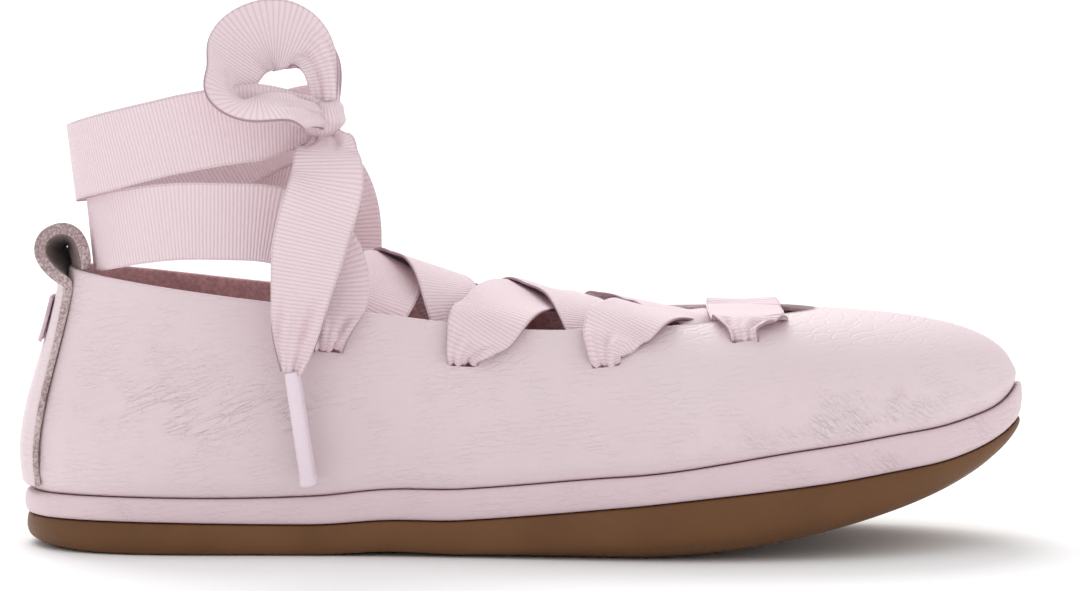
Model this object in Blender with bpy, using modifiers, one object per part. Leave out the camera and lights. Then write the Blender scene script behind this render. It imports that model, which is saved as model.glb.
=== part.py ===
# Lace-up ballet flat, right shoe: leather upper on a leather-wrapped platform and a gum
# rubber sole, laced with one wide ribbon that crosses the throat, goes twice round the
# ankle and is tied in a bow.
# Metres, +Z up, toe towards +X, the outer (lateral) side towards -Y, floor at Z = 0.

import math
from collections import namedtuple

import bmesh
import bpy
import numpy as np

# Driving sizes of the last
SOLE_LENGTH = 0.2505
BALL_WIDTH = 0.0855
COLLAR_HEIGHT = 0.0690
INSTEP_HEIGHT = 0.0584

# Driving sizes of the sole
GUM_THICKNESS = 0.0080
RAND_HEIGHT = 0.0062
TOE_SPRING = 0.0220
TOE_CURL = 0.0062
ARCH_LIFT = 0.0008
EDGE_ROLL = 0.0028

# Leathers, linings and the gaps between pieces
UPPER_WALL = 0.0016
INSOLE_THICKNESS = 0.0025
FEATHER_INSET = 0.0019
FIT_GAP = 0.0003
INSOLE_CLEARANCE = 0.0007

# Heel strip with its pull loop, and the blank patch on it
STRIP_WIDTH = 0.0170
STRIP_THICKNESS = 0.0022
LOOP_DEPTH = 0.0105
LOOP_HEIGHT = 0.0120
# The loop's turn, as shares of LOOP_DEPTH and LOOP_HEIGHT from the strip's top on the wall
LOOP_TURN = [(-0.16, 0.14), (-0.44, 0.42), (-0.52, 0.72), (-0.34, 1.02), (0.05, 1.17)]
LOOP_TURN += [(0.40, 1.04), (0.52, 0.72), (0.50, 0.38)]
PATCH_WIDTH = 0.0105
PATCH_THICKNESS = 0.0009

# Ribbon, its slits and its hard end
RIBBON_WIDTH = 0.0190
RIBBON_THICKNESS = 0.0010
RIBBON_CLEARANCE = 0.0005
SLIT_LENGTH = 0.0070
SLIT_HEIGHT = 0.0017
AGLET_RADIUS = 0.0021
AGLET_LENGTH = 0.0275
AGLET_GAP = 0.0008
KNOT_SIZE = (0.0050, 0.0048, 0.0068)
KNOT_PLACE = (0.0762, -0.0205, 0.1068)
KNOT_GAP = 0.0004

# The loose pieces of the bow, which hang free
LOOSE = ("bow_", "ribbon_tail_", "aglet_")

# How finely the lofts are cut
ROWS_PER_STATION = 4
WALL_ROWS = 8
RIBBON_STEP = 0.0058

Station = namedtuple(
    "Station", "sole_x sole_y top_x top_y collar instep low_out low_up top_out top_down"
)
# One row for each station round the last, from the back of the heel along the outer side to
# the toe and back along the inner side. sole_x and top_x are shares of SOLE_LENGTH, sole_y and
# top_y of BALL_WIDTH; the topline's height is collar * COLLAR_HEIGHT + instep * INSTEP_HEIGHT.
# The wall leaves the sole by low_out (share of BALL_WIDTH) and low_up (share of the wall's
# height) and meets the topline from top_out and top_down, in the same shares.
LAST = [
    Station(0.000, 0.000, 0.046, 0.000, 1.00, 0.00, 0.058, 0.30, 0.020, 0.34),
    Station(0.028, -0.215, 0.062, -0.150, 0.99, 0.00, 0.050, 0.30, 0.022, 0.34),
    Station(0.108, -0.333, 0.135, -0.262, 0.95, 0.00, 0.036, 0.32, 0.026, 0.34),
    Station(0.228, -0.351, 0.248, -0.298, 0.66, 0.28, 0.028, 0.33, 0.030, 0.34),
    Station(0.359, -0.368, 0.372, -0.310, 0.35, 0.59, 0.018, 0.34, 0.038, 0.34),
    Station(0.487, -0.421, 0.487, -0.316, 0.12, 0.81, 0.022, 0.36, 0.062, 0.32),
    Station(0.619, -0.485, 0.598, -0.312, 0.02, 0.93, 0.030, 0.42, 0.110, 0.22),
    Station(0.739, -0.491, 0.684, -0.248, 0.00, 0.975, 0.030, 0.52, 0.165, 0.12),
    Station(0.854, -0.398, 0.746, -0.152, 0.00, 0.992, 0.024, 0.58, 0.235, 0.07),
    Station(0.946, -0.199, 0.779, -0.060, 0.00, 0.998, 0.018, 0.62, 0.330, 0.06),
    Station(1.000, 0.094, 0.790, 0.024, 0.00, 1.000, 0.014, 0.62, 0.420, 0.07),
    Station(0.962, 0.327, 0.779, 0.108, 0.00, 0.998, 0.018, 0.62, 0.330, 0.06),
    Station(0.878, 0.456, 0.746, 0.196, 0.00, 0.993, 0.024, 0.58, 0.235, 0.07),
    Station(0.758, 0.509, 0.684, 0.278, 0.00, 0.980, 0.028, 0.52, 0.165, 0.12),
    Station(0.631, 0.468, 0.598, 0.328, 0.02, 0.945, 0.024, 0.44, 0.105, 0.22),
    Station(0.495, 0.363, 0.487, 0.328, 0.12, 0.830, 0.014, 0.38, 0.050, 0.32),
    Station(0.363, 0.316, 0.372, 0.318, 0.35, 0.605, 0.008, 0.36, 0.030, 0.34),
    Station(0.228, 0.333, 0.248, 0.302, 0.66, 0.290, 0.020, 0.34, 0.026, 0.34),
    Station(0.108, 0.327, 0.135, 0.264, 0.95, 0.005, 0.034, 0.32, 0.026, 0.34),
    Station(0.028, 0.213, 0.062, 0.152, 0.99, 0.000, 0.050, 0.30, 0.022, 0.34),
]

Side = namedtuple("Side", "station roll gum rand")
# The sole's side along its length: station is a share of SOLE_LENGTH, roll of EDGE_ROLL,
# gum (above the ground line) of GUM_THICKNESS and rand of RAND_HEIGHT.
SIDES = [
    Side(0.00, 0.75, 0.96, 0.97),
    Side(0.05, 0.30, 1.00, 0.98),
    Side(0.12, 0.10, 1.00, 0.98),
    Side(0.24, 0.10, 0.95, 1.05),
    Side(0.36, 0.15, 1.00, 1.22),
    Side(0.47, 0.50, 1.22, 1.24),
    Side(0.57, 0.95, 1.54, 1.24),
    Side(0.64, 1.20, 1.74, 1.20),
    Side(0.70, 1.20, 1.77, 1.30),
    Side(0.76, 1.05, 1.67, 1.42),
    Side(0.82, 0.80, 1.48, 1.44),
    Side(0.87, 0.70, 1.27, 1.43),
    Side(0.91, 0.65, 1.02, 1.40),
    Side(0.95, 0.55, 0.78, 1.34),
    Side(0.98, 0.40, 0.55, 1.30),
    Side(1.00, 0.25, 0.36, 1.50),
]
ARCH_FROM = 0.29
ARCH_TO = 0.44
SPRING_FROM = 0.60
SPRING_POWER = 1.75
CURL_POWER = 12

# The rings of each slab, from its top face over its side to its bottom face: the inset in
# metres from the sole's outline, and the height as a share of the slab's side.
RAND_RINGS = [(0.0100, 1.0), (0.0045, 1.0), (0.0014, 1.0), (0.0005, 0.93), (0.0, 0.62)]
RAND_RINGS += [(0.0001, 0.3), (0.0008, 0.0)]
GUM_RINGS = [(0.0060, 1.0), (0.0009, 1.0), (0.0005, 0.5), (0.0011, 0.13), (0.0022, 0.0)]
INSOLE_RINGS = [(0.0058, 1.0), (0.0005, 1.0), (0.0, 0.75), (0.0, 0.0), (0.0058, 0.0)]
TREAD_INSETS = [(0.0055, 0.30), (0.0100, 0.0)]

Slit = namedtuple("Slit", "station height")
# The four pairs of slits from the ankle to the toe: where round the last, and how high up
# the wall, as a share of its rows.
SLITS = [Slit(3.50, 0.80), Slit(4.60, 0.775), Slit(5.80, 0.73), Slit(7.16, 0.76)]

Crest = namedtuple("Crest", "along across height lean")
# Where each crossing goes over the instep: along is a share of SOLE_LENGTH, across of
# BALL_WIDTH towards the side of its rear end, height is in shares of INSTEP_HEIGHT, and lean
# is how far its rear edge stands above its front edge, as a share of RIBBON_WIDTH.
OVER_CRESTS = [Crest(0.366, 0.06, 1.165, 0.45), Crest(0.497, 0.06, 1.065, 0.36),
               Crest(0.634, 0.07, 1.010, 0.18)]
UNDER_CRESTS = [Crest(0.405, 0.03, 1.190, 0.36), Crest(0.545, 0.03, 1.085, 0.24),
                Crest(0.640, 0.02, 1.000, 0.12)]
BAR_CREST = 1.030

RibbonRow = namedtuple("RibbonRow", "x y z up_x up_y up_z share")

# The two ribbon halves: each rises from its rear slit, turns back at the ankle and goes once
# round it to the knot. up_x, up_y and up_z point from the ribbon's lower edge to its upper edge.
OUTER_HALF = [
    RibbonRow(0.0776, -0.0318, 0.0530, 1.0, 0.0, 0.0, 0.42),
    RibbonRow(0.0780, -0.0299, 0.0605, 1.0, 0.0, 0.0, 0.85),
    RibbonRow(0.0778, -0.0286, 0.0685, 1.0, 0.0, 0.25, 1.00),
    RibbonRow(0.0740, -0.0276, 0.0765, 0.7, 0.0, 0.7, 1.00),
    RibbonRow(0.0650, -0.0270, 0.0812, 0.15, 0.0, 1.0, 1.00),
    RibbonRow(0.0530, -0.0275, 0.0822, 0.0, -0.05, 1.0, 1.00),
    RibbonRow(0.0410, -0.0268, 0.0822, 0.0, -0.05, 1.0, 1.00),
    RibbonRow(0.0245, -0.0190, 0.0797, 0.0, -0.05, 1.0, 1.00),
    RibbonRow(0.0171, 0.0000, 0.0774, -0.10, 0.0, 1.0, 1.00),
    RibbonRow(0.0250, 0.0192, 0.0812, 0.0, 0.05, 1.0, 1.00),
    RibbonRow(0.0420, 0.0268, 0.0905, 0.0, 0.05, 1.0, 1.00),
    RibbonRow(0.0600, 0.0250, 0.1005, 0.0, 0.05, 1.0, 1.00),
    RibbonRow(0.0728, 0.0090, 0.1050, 0.0, 0.0, 1.0, 0.95),
    RibbonRow(0.0770, -0.0205, 0.1060, 0.0, 0.0, 1.0, 0.42),
]
INNER_HALF = [
    RibbonRow(0.0780, 0.0318, 0.0540, 1.0, 0.0, 0.0, 0.42),
    RibbonRow(0.0785, 0.0305, 0.0620, 1.0, 0.0, 0.0, 0.85),
    RibbonRow(0.0790, 0.0292, 0.0710, 1.0, 0.0, 0.1, 1.00),
    RibbonRow(0.0785, 0.0285, 0.0805, 1.0, 0.0, 0.2, 1.00),
    RibbonRow(0.0745, 0.0288, 0.0895, 0.75, 0.0, 0.65, 1.00),
    RibbonRow(0.0640, 0.0298, 0.0950, 0.2, 0.0, 1.0, 1.00),
    RibbonRow(0.0430, 0.0305, 0.0950, 0.0, 0.1, 1.0, 1.00),
    RibbonRow(0.0240, 0.0222, 0.0942, 0.0, 0.1, 1.0, 1.00),
    RibbonRow(0.0125, 0.0000, 0.0948, -0.12, 0.0, 1.0, 1.00),
    RibbonRow(0.0240, -0.0226, 0.0993, 0.0, -0.1, 1.0, 1.00),
    RibbonRow(0.0420, -0.0288, 0.1038, 0.0, -0.1, 1.0, 1.00),
    RibbonRow(0.0600, -0.0278, 0.1065, 0.0, -0.05, 1.0, 1.00),
    RibbonRow(0.0770, -0.0205, 0.1070, 0.0, 0.0, 1.0, 0.38),
]

# The bow: a loop towards the camera side and one behind it, and the two ends that hang from
# the knot, one behind the other
LOOP_NEAR = [
    RibbonRow(0.0765, -0.0212, 0.1108, -0.9, 0.0, 0.3, 0.42),
    RibbonRow(0.0765, -0.0205, 0.1165, -0.9, 0.3, 0.2, 0.80),
    RibbonRow(0.0722, -0.0185, 0.1252, -0.5, 0.4, 0.8, 0.95),
    RibbonRow(0.0655, -0.0175, 0.1278, 0.0, 0.4, 0.9, 1.00),
    RibbonRow(0.0570, -0.0195, 0.1268, 0.0, 0.4, 0.9, 1.00),
    RibbonRow(0.0508, -0.0250, 0.1248, 0.1, 0.3, 0.9, 0.88),
    RibbonRow(0.0508, -0.0335, 0.1196, 0.2, 0.4, 0.9, 0.85),
    RibbonRow(0.0575, -0.0378, 0.1136, 0.0, 0.8, 0.6, 0.82),
    RibbonRow(0.0665, -0.0342, 0.1100, 0.0, 0.8, 0.6, 0.58),
    RibbonRow(0.0733, -0.0252, 0.1070, 0.0, 0.5, 0.8, 0.28),
]
LOOP_FAR = [
    RibbonRow(0.0775, -0.0195, 0.1120, 0.9, 0.0, 0.1, 0.34),
    RibbonRow(0.0772, -0.0138, 0.1195, 0.8, 0.2, 0.4, 0.52),
    RibbonRow(0.0712, -0.0065, 0.1235, 0.2, 0.3, 0.9, 0.80),
    RibbonRow(0.0610, 0.0010, 0.1225, 0.0, 0.3, 0.9, 1.00),
    RibbonRow(0.0520, -0.0010, 0.1200, -0.1, 0.3, 0.9, 1.00),
    RibbonRow(0.0490, -0.0070, 0.1155, -0.2, 0.2, 0.9, 0.95),
    RibbonRow(0.0560, -0.0115, 0.1115, 0.0, 0.5, 0.8, 0.80),
    RibbonRow(0.0650, -0.0140, 0.1082, 0.0, 0.5, 0.8, 0.50),
    RibbonRow(0.0728, -0.0185, 0.1052, 0.0, 0.5, 0.8, 0.32),
]
TAIL_NEAR = [
    RibbonRow(0.0765, -0.0235, 0.1032, -1.0, 0.0, 0.0, 0.38),
    RibbonRow(0.0772, -0.0315, 0.0998, -1.0, 0.0, 0.1, 0.80),
    RibbonRow(0.0775, -0.0358, 0.0940, -1.0, 0.0, 0.1, 0.92),
    RibbonRow(0.0748, -0.0377, 0.0837, -1.0, 0.0, 0.2, 0.96),
    RibbonRow(0.0726, -0.0383, 0.0749, -1.0, 0.0, 0.2, 0.92),
    RibbonRow(0.0707, -0.0383, 0.0637, -1.0, 0.0, 0.2, 0.74),
    RibbonRow(0.0697, -0.0381, 0.0554, -1.0, 0.0, 0.1, 0.60),
    RibbonRow(0.0686, -0.0379, 0.0462, -1.0, 0.0, 0.0, 0.26),
]
TAIL_BEHIND = [
    RibbonRow(0.0765, -0.0208, 0.1018, -1.0, 0.0, 0.0, 0.34),
    RibbonRow(0.0768, -0.0272, 0.0952, -1.0, 0.0, 0.1, 0.75),
    RibbonRow(0.0766, -0.0318, 0.0880, -1.0, 0.0, 0.1, 0.88),
    RibbonRow(0.0746, -0.0336, 0.0800, -1.0, 0.0, 0.2, 0.90),
    RibbonRow(0.0724, -0.0338, 0.0720, -1.0, 0.0, 0.2, 0.86),
    RibbonRow(0.0707, -0.0336, 0.0625, -1.0, 0.0, 0.2, 0.70),
    RibbonRow(0.0697, -0.0334, 0.0545, -1.0, 0.0, 0.1, 0.56),
    RibbonRow(0.0687, -0.0333, 0.0465, -1.0, 0.0, 0.0, 0.26),
]
AGLET_NEAR_FOOT = (0.0726, -0.0378, 0.0185)
AGLET_BEHIND_FOOT = (0.0727, -0.0332, 0.0190)


def natural_curve(knots, values, at):
    """The natural cubic curve through values (one row a knot), read at each number of at."""
    knots, values = np.asarray(knots, float), np.asarray(values, float)
    steps = np.diff(knots)
    count = len(knots)
    system, right = np.eye(count), np.zeros_like(values)
    for i in range(1, count - 1):
        system[i, i - 1 : i + 2] = steps[i - 1], 2 * (steps[i - 1] + steps[i]), steps[i]
        before = (values[i] - values[i - 1]) / steps[i - 1]
        right[i] = 6 * ((values[i + 1] - values[i]) / steps[i] - before)
    bend = np.linalg.solve(system, right)
    place = np.clip(np.searchsorted(knots, at) - 1, 0, count - 2)
    step = steps[place][:, None]
    left = (knots[place + 1] - at)[:, None] / step
    rest = 1 - left
    curve = left * values[place] + rest * values[place + 1]
    bow = (left**3 - left) * bend[place] + (rest**3 - rest) * bend[place + 1]
    return curve + bow * step**2 / 6


def last_at(where):
    """The last's table read at any place round it, where whole numbers are its rows."""
    around, margin = len(LAST), 4
    knots = np.arange(-margin, around + margin + 1)
    rows = np.array([LAST[k % around] for k in knots])
    return Station(*natural_curve(knots, rows, np.mod(np.atleast_1d(where), around)).T)


def sole_outline(where, inset):
    """The sole's outline in plan, moved in by inset."""
    def point(at):
        row = last_at(at)
        return np.stack([row.sole_x * SOLE_LENGTH, row.sole_y * BALL_WIDTH], 1)

    small = 0.02
    where = np.atleast_1d(where).astype(float)
    along = point(where + small) - point(where - small)
    along /= np.linalg.norm(along, axis=1)[:, None]
    inwards = np.stack([-along[:, 1], along[:, 0]], 1)
    return point(where) + inwards * inset


def sides_at(x):
    """roll, gum and rand thickness at a distance from the heel, in metres."""
    rows = np.array(SIDES)
    share = np.clip(np.asarray(x) / SOLE_LENGTH, rows[0, 0], rows[-1, 0])
    read = natural_curve(rows[:, 0], rows[:, 1:], share)
    return read[:, 0] * EDGE_ROLL, read[:, 1] * GUM_THICKNESS, read[:, 2] * RAND_HEIGHT


def ground_line(x):
    """How high the middle of the tread stands: flat heel, low arch, flat forefoot, rising toe."""
    share = np.asarray(x) / SOLE_LENGTH
    toe = np.clip((share - SPRING_FROM) / (1 - SPRING_FROM), 0, 1.02)
    arch = np.clip((share - ARCH_FROM) / (ARCH_TO - ARCH_FROM), 0, 1)
    spring = TOE_SPRING * toe**SPRING_POWER + TOE_CURL * toe**CURL_POWER
    return spring + ARCH_LIFT * np.sin(math.pi * arch) ** 2


def gum_top(x):
    return ground_line(x) + sides_at(x)[1]


def rand_top(x):
    return gum_top(x) + sides_at(x)[2]


def wall(where, height):
    """A point of the upper's outer face: where round the last, height from sole 0 to topline 1."""
    where, height = np.broadcast_arrays(np.atleast_1d(where).astype(float), height)
    row = last_at(where)
    foot = sole_outline(where, FEATHER_INSET)
    foot = np.column_stack([foot, rand_top(foot[:, 0]) + FIT_GAP])
    rise = row.collar * COLLAR_HEIGHT + row.instep * INSTEP_HEIGHT
    top = np.column_stack([row.top_x * SOLE_LENGTH, row.top_y * BALL_WIDTH, rise])
    outwards = sole_outline(where, 0) - sole_outline(where, 0.001)
    outwards = np.column_stack([outwards / 0.001, np.zeros(len(where))])
    tall = (top - foot)[:, 2:]
    up = np.array([0, 0, 1.0])
    low = foot + outwards * (row.low_out * BALL_WIDTH)[:, None] + up * tall * row.low_up[:, None]
    away = foot - top
    away[:, 2] = 0
    away /= np.linalg.norm(away, axis=1)[:, None]
    turn = np.clip(row.top_out[:, None] * 4 - 0.2, 0, 1)
    away = away * turn + outwards * (1 - turn)
    high = top + away * (row.top_out * BALL_WIDTH)[:, None] - up * tall * row.top_down[:, None]
    t = np.asarray(height, float)[:, None]
    return (1 - t) ** 3 * foot + 3 * (1 - t) ** 2 * t * low + 3 * (1 - t) * t**2 * high + t**3 * top


def wall_normal(where, height):
    """The wall's unit normal, pointing out of the shoe."""
    small = 0.01
    around = wall(where + small, height) - wall(where - small, height)
    upwards = wall(where, np.minimum(height + small, 1.0)) - wall(where, height - small)
    normal = np.cross(around, upwards)
    return normal / np.linalg.norm(normal, axis=1)[:, None]


def on_wall(where, height, out):
    """One point at a distance outside the upper's outer face, or inside it if out is negative."""
    spot = np.array([float(where)])
    level = np.array([float(height)])
    return (wall(spot, level) + wall_normal(spot, level) * out)[0]


def material(name, colour, roughness):
    made = bpy.data.materials.new(name)
    made.use_nodes = True
    shader = made.node_tree.nodes["Principled BSDF"]
    shader.inputs["Base Color"].default_value = (*colour, 1)
    shader.inputs["Roughness"].default_value = roughness
    shader.inputs["Metallic"].default_value = 0
    made.diffuse_color = (*colour, 1)
    return made


def add_object(name, mesh, finish, group):
    made = bpy.data.objects.new(name, mesh)
    made.data.materials.append(finish)
    group.objects.link(made)
    return made


def grid_mesh(name, points, closed):
    """A sheet of four-sided faces over points[row][column], joined round its rows if closed."""
    sheet = bmesh.new()
    corners = [[sheet.verts.new(p) for p in row] for row in points]
    rows = len(corners)
    for i in range(rows if closed else rows - 1):
        here, after = corners[i], corners[(i + 1) % rows]
        for j in range(len(here) - 1):
            sheet.faces.new((here[j], after[j], after[j + 1], here[j + 1]))
    mesh = bpy.data.meshes.new(name)
    sheet.to_mesh(mesh)
    sheet.free()
    for face in mesh.polygons:
        face.use_smooth = True
    return mesh


def slab_mesh(name, rings, columns=2):
    """A closed slab from rings[0], its top face's edge, to rings[-1], its bottom face's edge. Each
    face is closed by strips between the outer and the inner side."""
    slab = bmesh.new()
    loops = [[slab.verts.new(p) for p in ring] for ring in rings]
    count = len(loops[0])
    half = count // 2

    def bridge(first, second):
        for i in range(count):
            after = (i + 1) % count
            slab.faces.new((first[i], second[i], second[after], first[after]))

    def strips(loop, flip):
        lines = []
        for i in range(1, half):
            one, other = loop[i], loop[count - i]
            shares = [(c + 1) / (columns + 1) for c in range(columns)]
            inner = [slab.verts.new(one.co.lerp(other.co, share)) for share in shares]
            lines.append([one, *inner, other])
        faces = []
        for j in range(columns + 1):
            faces.append((loop[0], lines[0][j], lines[0][j + 1]))
            faces.append((lines[-1][j], loop[half], lines[-1][j + 1]))
            for here, after in zip(lines, lines[1:]):
                faces.append((here[j], after[j], after[j + 1], here[j + 1]))
        for face in faces:
            slab.faces.new(face[::-1] if flip else face)

    for first, second in zip(loops, loops[1:]):
        bridge(first, second)
    strips(loops[0], False)
    strips(loops[-1], True)
    slab.normal_update()
    bmesh.ops.recalc_face_normals(slab, faces=slab.faces)
    mesh = bpy.data.meshes.new(name)
    slab.to_mesh(mesh)
    slab.free()
    for face in mesh.polygons:
        face.use_smooth = True
    mesh.set_sharp_from_angle(angle=math.radians(40))
    return mesh


def stations():
    return np.arange(len(LAST) * ROWS_PER_STATION) / ROWS_PER_STATION


def slab_rings(table, base_inset, top, bottom):
    """Rings for slab_mesh, with each side's heights read from top(x) and bottom(x)."""
    rings = []
    for inset, share in table:
        plan = sole_outline(stations(), base_inset + inset)
        low, high = bottom(plan[:, 0]), top(plan[:, 0])
        rings.append(np.column_stack([plan, low + (high - low) * share]))
    return rings


def build_outsole(group):
    def edge(x):
        return ground_line(x) + sides_at(x)[0]

    rings = slab_rings(GUM_RINGS, 0, gum_top, edge)
    for inset, share in TREAD_INSETS:
        plan = sole_outline(stations(), inset)
        x = plan[:, 0]
        rings.append(np.column_stack([plan, ground_line(x) + share * sides_at(x)[0]]))
    finish = material("gum_rubber", (0.127, 0.063, 0.035), 0.62)
    add_object("outsole", slab_mesh("outsole", rings), finish, group)


def build_midsole(group):
    def bottom(x):
        return gum_top(x) + FIT_GAP

    rings = slab_rings(RAND_RINGS, 0, rand_top, bottom)
    finish = material("rand_leather", (0.597, 0.468, 0.497), 0.5)
    add_object("midsole_rand", slab_mesh("midsole_rand", rings), finish, group)


def build_insole(group):
    def bottom(x):
        return rand_top(x) + FIT_GAP

    def top(x):
        return bottom(x) + INSOLE_THICKNESS

    inset = FEATHER_INSET + UPPER_WALL + INSOLE_CLEARANCE
    rings = slab_rings(INSOLE_RINGS, inset, top, bottom)
    finish = material("insole_suede", (0.521, 0.352, 0.356), 0.85)
    add_object("insole", slab_mesh("insole", rings), finish, group)


def slit_cutter(where, height, cutters):
    """A round-ended bar through the wall, its long side along the topline."""
    centre = on_wall(where, height, 0)
    along = on_wall(where + 0.05, height, 0) - on_wall(where - 0.05, height, 0)
    along /= np.linalg.norm(along)
    out = wall_normal(np.array([float(where)]), np.array([float(height)]))[0]
    across = np.cross(out, along)
    bar = bmesh.new()
    bmesh.ops.create_cone(bar, cap_ends=True, segments=10, radius1=0.5, radius2=0.5, depth=1)
    for corner in bar.verts:
        end = math.copysign((SLIT_LENGTH - SLIT_HEIGHT) / 2, corner.co.x)
        place = centre + along * (corner.co.x * SLIT_HEIGHT + end)
        place = place + across * corner.co.y * SLIT_HEIGHT + out * corner.co.z * UPPER_WALL * 4
        corner.co = place
    bar.normal_update()
    bmesh.ops.recalc_face_normals(bar, faces=bar.faces)
    mesh = bpy.data.meshes.new("slit_cutter")
    bar.to_mesh(mesh)
    bar.free()
    made = bpy.data.objects.new("slit_cutter", mesh)
    made.hide_render = True
    made.display_type = "WIRE"
    cutters.objects.link(made)
    return made


def both_sides(where):
    """The same place on the outer and on the inner side of the last."""
    return where, len(LAST) - where


def build_upper(group, cutters):
    around = stations()
    heights = np.linspace(0, 1, WALL_ROWS + 1)
    columns = [wall(around, np.full(len(around), h)) for h in heights]
    points = np.stack(columns, 1)
    finish = material("upper_leather", (0.708, 0.578, 0.604), 0.48)
    upper = add_object("upper", grid_mesh("upper", points, True), finish, group)
    shell = upper.modifiers.new("wall", "SOLIDIFY")
    shell.thickness = UPPER_WALL
    shell.offset = -1
    shell.use_even_offset = False
    for slit in SLITS:
        for where in both_sides(slit.station):
            cut = upper.modifiers.new("slit", "BOOLEAN")
            cut.operation = "DIFFERENCE"
            cut.object = slit_cutter(where, slit.height, cutters)


def heel_line(height, out, width, count):
    """Points across the back of the heel at one height, at a distance from the upper's outer
    face, evenly over a width."""
    probe = np.linspace(-0.8, 0.8, 81)
    levels = np.full(len(probe), height)
    line = wall(probe, levels) + wall_normal(probe, levels) * out
    run = np.concatenate([[0], np.cumsum(np.linalg.norm(np.diff(line, axis=0), axis=1))])
    run -= run[len(run) // 2]
    wanted = np.linspace(-width / 2, width / 2, count)
    return np.stack([np.interp(wanted, run, line[:, k]) for k in range(3)], 1)


def strip_path():
    """Rows of the heel strip from the sole up the back of the heel, round the pull loop and down
    inside the collar, each a line of points across the strip."""
    outer = FIT_GAP + STRIP_THICKNESS / 2
    inner = UPPER_WALL + 3 * FIT_GAP + STRIP_THICKNESS / 2
    rows = [heel_line(height, outer, STRIP_WIDTH, 5) for height in np.linspace(0.035, 0.93, 9)]
    below = rows[-1]
    middle = below[2]
    for back, up in LOOP_TURN:
        flat = min(up, 1)
        line = below.copy()
        line[:, 0] = middle[0] + (below[:, 0] - middle[0]) * (1 - 0.8 * flat)
        line[:, 0] += back * LOOP_DEPTH
        line[:, 2] = middle[2] + up * LOOP_HEIGHT
        rows.append(line)
    rows += [heel_line(height, -inner, STRIP_WIDTH * 0.9, 5) for height in (0.93, 0.86, 0.78)]
    return np.array(rows)


def build_heel_strip(group):
    rows = strip_path()
    knots = np.arange(len(rows))
    flat = rows.reshape(len(rows), -1)
    fine = natural_curve(knots, flat, np.linspace(0, len(rows) - 1, 39))
    finish = material("strip_leather", (0.765, 0.631, 0.680), 0.5)
    mesh = grid_mesh("heel_strip", fine.reshape(39, -1, 3), False)
    strip = add_object("heel_strip", mesh, finish, group)
    shell = strip.modifiers.new("leather", "SOLIDIFY")
    shell.thickness = STRIP_THICKNESS
    shell.offset = 0


def build_heel_patch(group):
    """The blank woven patch on the heel strip's outer face."""
    out = FIT_GAP * 2 + STRIP_THICKNESS + PATCH_THICKNESS / 2
    rows = [heel_line(height, out, PATCH_WIDTH, 5) for height in np.linspace(0.66, 0.86, 6)]
    finish = material("patch_weave", (0.631, 0.497, 0.534), 0.8)
    patch = add_object("heel_patch", grid_mesh("heel_patch", rows, False), finish, group)
    shell = patch.modifiers.new("weave", "SOLIDIFY")
    shell.thickness = PATCH_THICKNESS
    shell.offset = 0


def ribbon_points(rows):
    """Lines of three points across the ribbon, evenly along its smooth middle line."""
    table = np.array(rows)
    steps = np.linalg.norm(np.diff(table[:, :3], axis=0), axis=1)
    run = np.concatenate([[0], np.cumsum(steps)])
    count = max(6, round(run[-1] / RIBBON_STEP))
    at = np.linspace(0, run[-1], count + 1)
    fine = natural_curve(run, table, at)
    middle, up = fine[:, :3], fine[:, 3:6]
    share = np.clip(fine[:, 6], 0.2, 1.0)
    along = np.gradient(middle, axis=0)
    along /= np.linalg.norm(along, axis=1)[:, None]
    up = up - along * (up * along).sum(1)[:, None]
    up /= np.linalg.norm(up, axis=1)[:, None]
    half = up * share[:, None] * RIBBON_WIDTH / 2
    return np.stack([middle - half, middle, middle + half], 1)


def ribbon_object(name, rows, finish, group):
    made = add_object(name, grid_mesh(name, ribbon_points(rows), False), finish, group)
    weave = made.modifiers.new("weave", "SOLIDIFY")
    weave.thickness = RIBBON_THICKNESS
    weave.offset = 0
    return made


def crossing_rows(rear, front, side, crest, outside):
    """A crossing from one side's slit over the instep to the next slit of the other side. side is
    -1 where its rear end is on the outer side of the shoe, and outside says whether that end comes
    out over the topline."""
    skin = UPPER_WALL + RIBBON_CLEARANCE + RIBBON_THICKNESS / 2
    here = rear.station if side < 0 else len(LAST) - rear.station
    there = len(LAST) - front.station if side < 0 else front.station
    ahead = -side
    rise = np.array([0, 0, 1.0])
    toward = np.array([0, -side, 0.0])
    clear = RIBBON_CLEARANCE + RIBBON_THICKNESS
    lean = crest.lean
    over = np.array([crest.along * SOLE_LENGTH, side * crest.across * BALL_WIDTH, 0])
    over[2] = crest.height * INSTEP_HEIGHT
    rows = []

    def row(point, up, share):
        rows.append(RibbonRow(*point, *up, share))

    if outside:
        row(on_wall(here, rear.height + 0.02, clear), (-1, 0, 0), 0.40)
        row(on_wall(here + ahead * 0.1, 0.95, clear * 1.3), (-1, 0, 0.1), 0.85)
        top = on_wall(here + ahead * 0.22, 1.0, 0) + rise * 0.0031 + toward * 0.0006
        row(top, (-0.95, toward[1] * 0.3, 0.2), 1.0)
    else:
        row(on_wall(here, rear.height + 0.03, -skin - clear * 0.8), (-1, 0, 0), 0.40)
        row(on_wall(here + ahead * 0.2, 0.97, -skin - clear * 2), (-0.95, toward[1] * 0.2, 0.3), 0.9)
    row(over, (-0.85, toward[1] * 0.53, lean), 1.0)
    row(on_wall(there - ahead * -0.12, 0.99, -skin - clear * 3) + rise * 0.0012, (-1, 0, 0.15), 0.9)
    depth = skin + clear * (1 if outside else 0.8)
    row(on_wall(there, front.height + 0.03, -depth), (-1, 0, 0), 0.40)
    return rows


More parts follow.
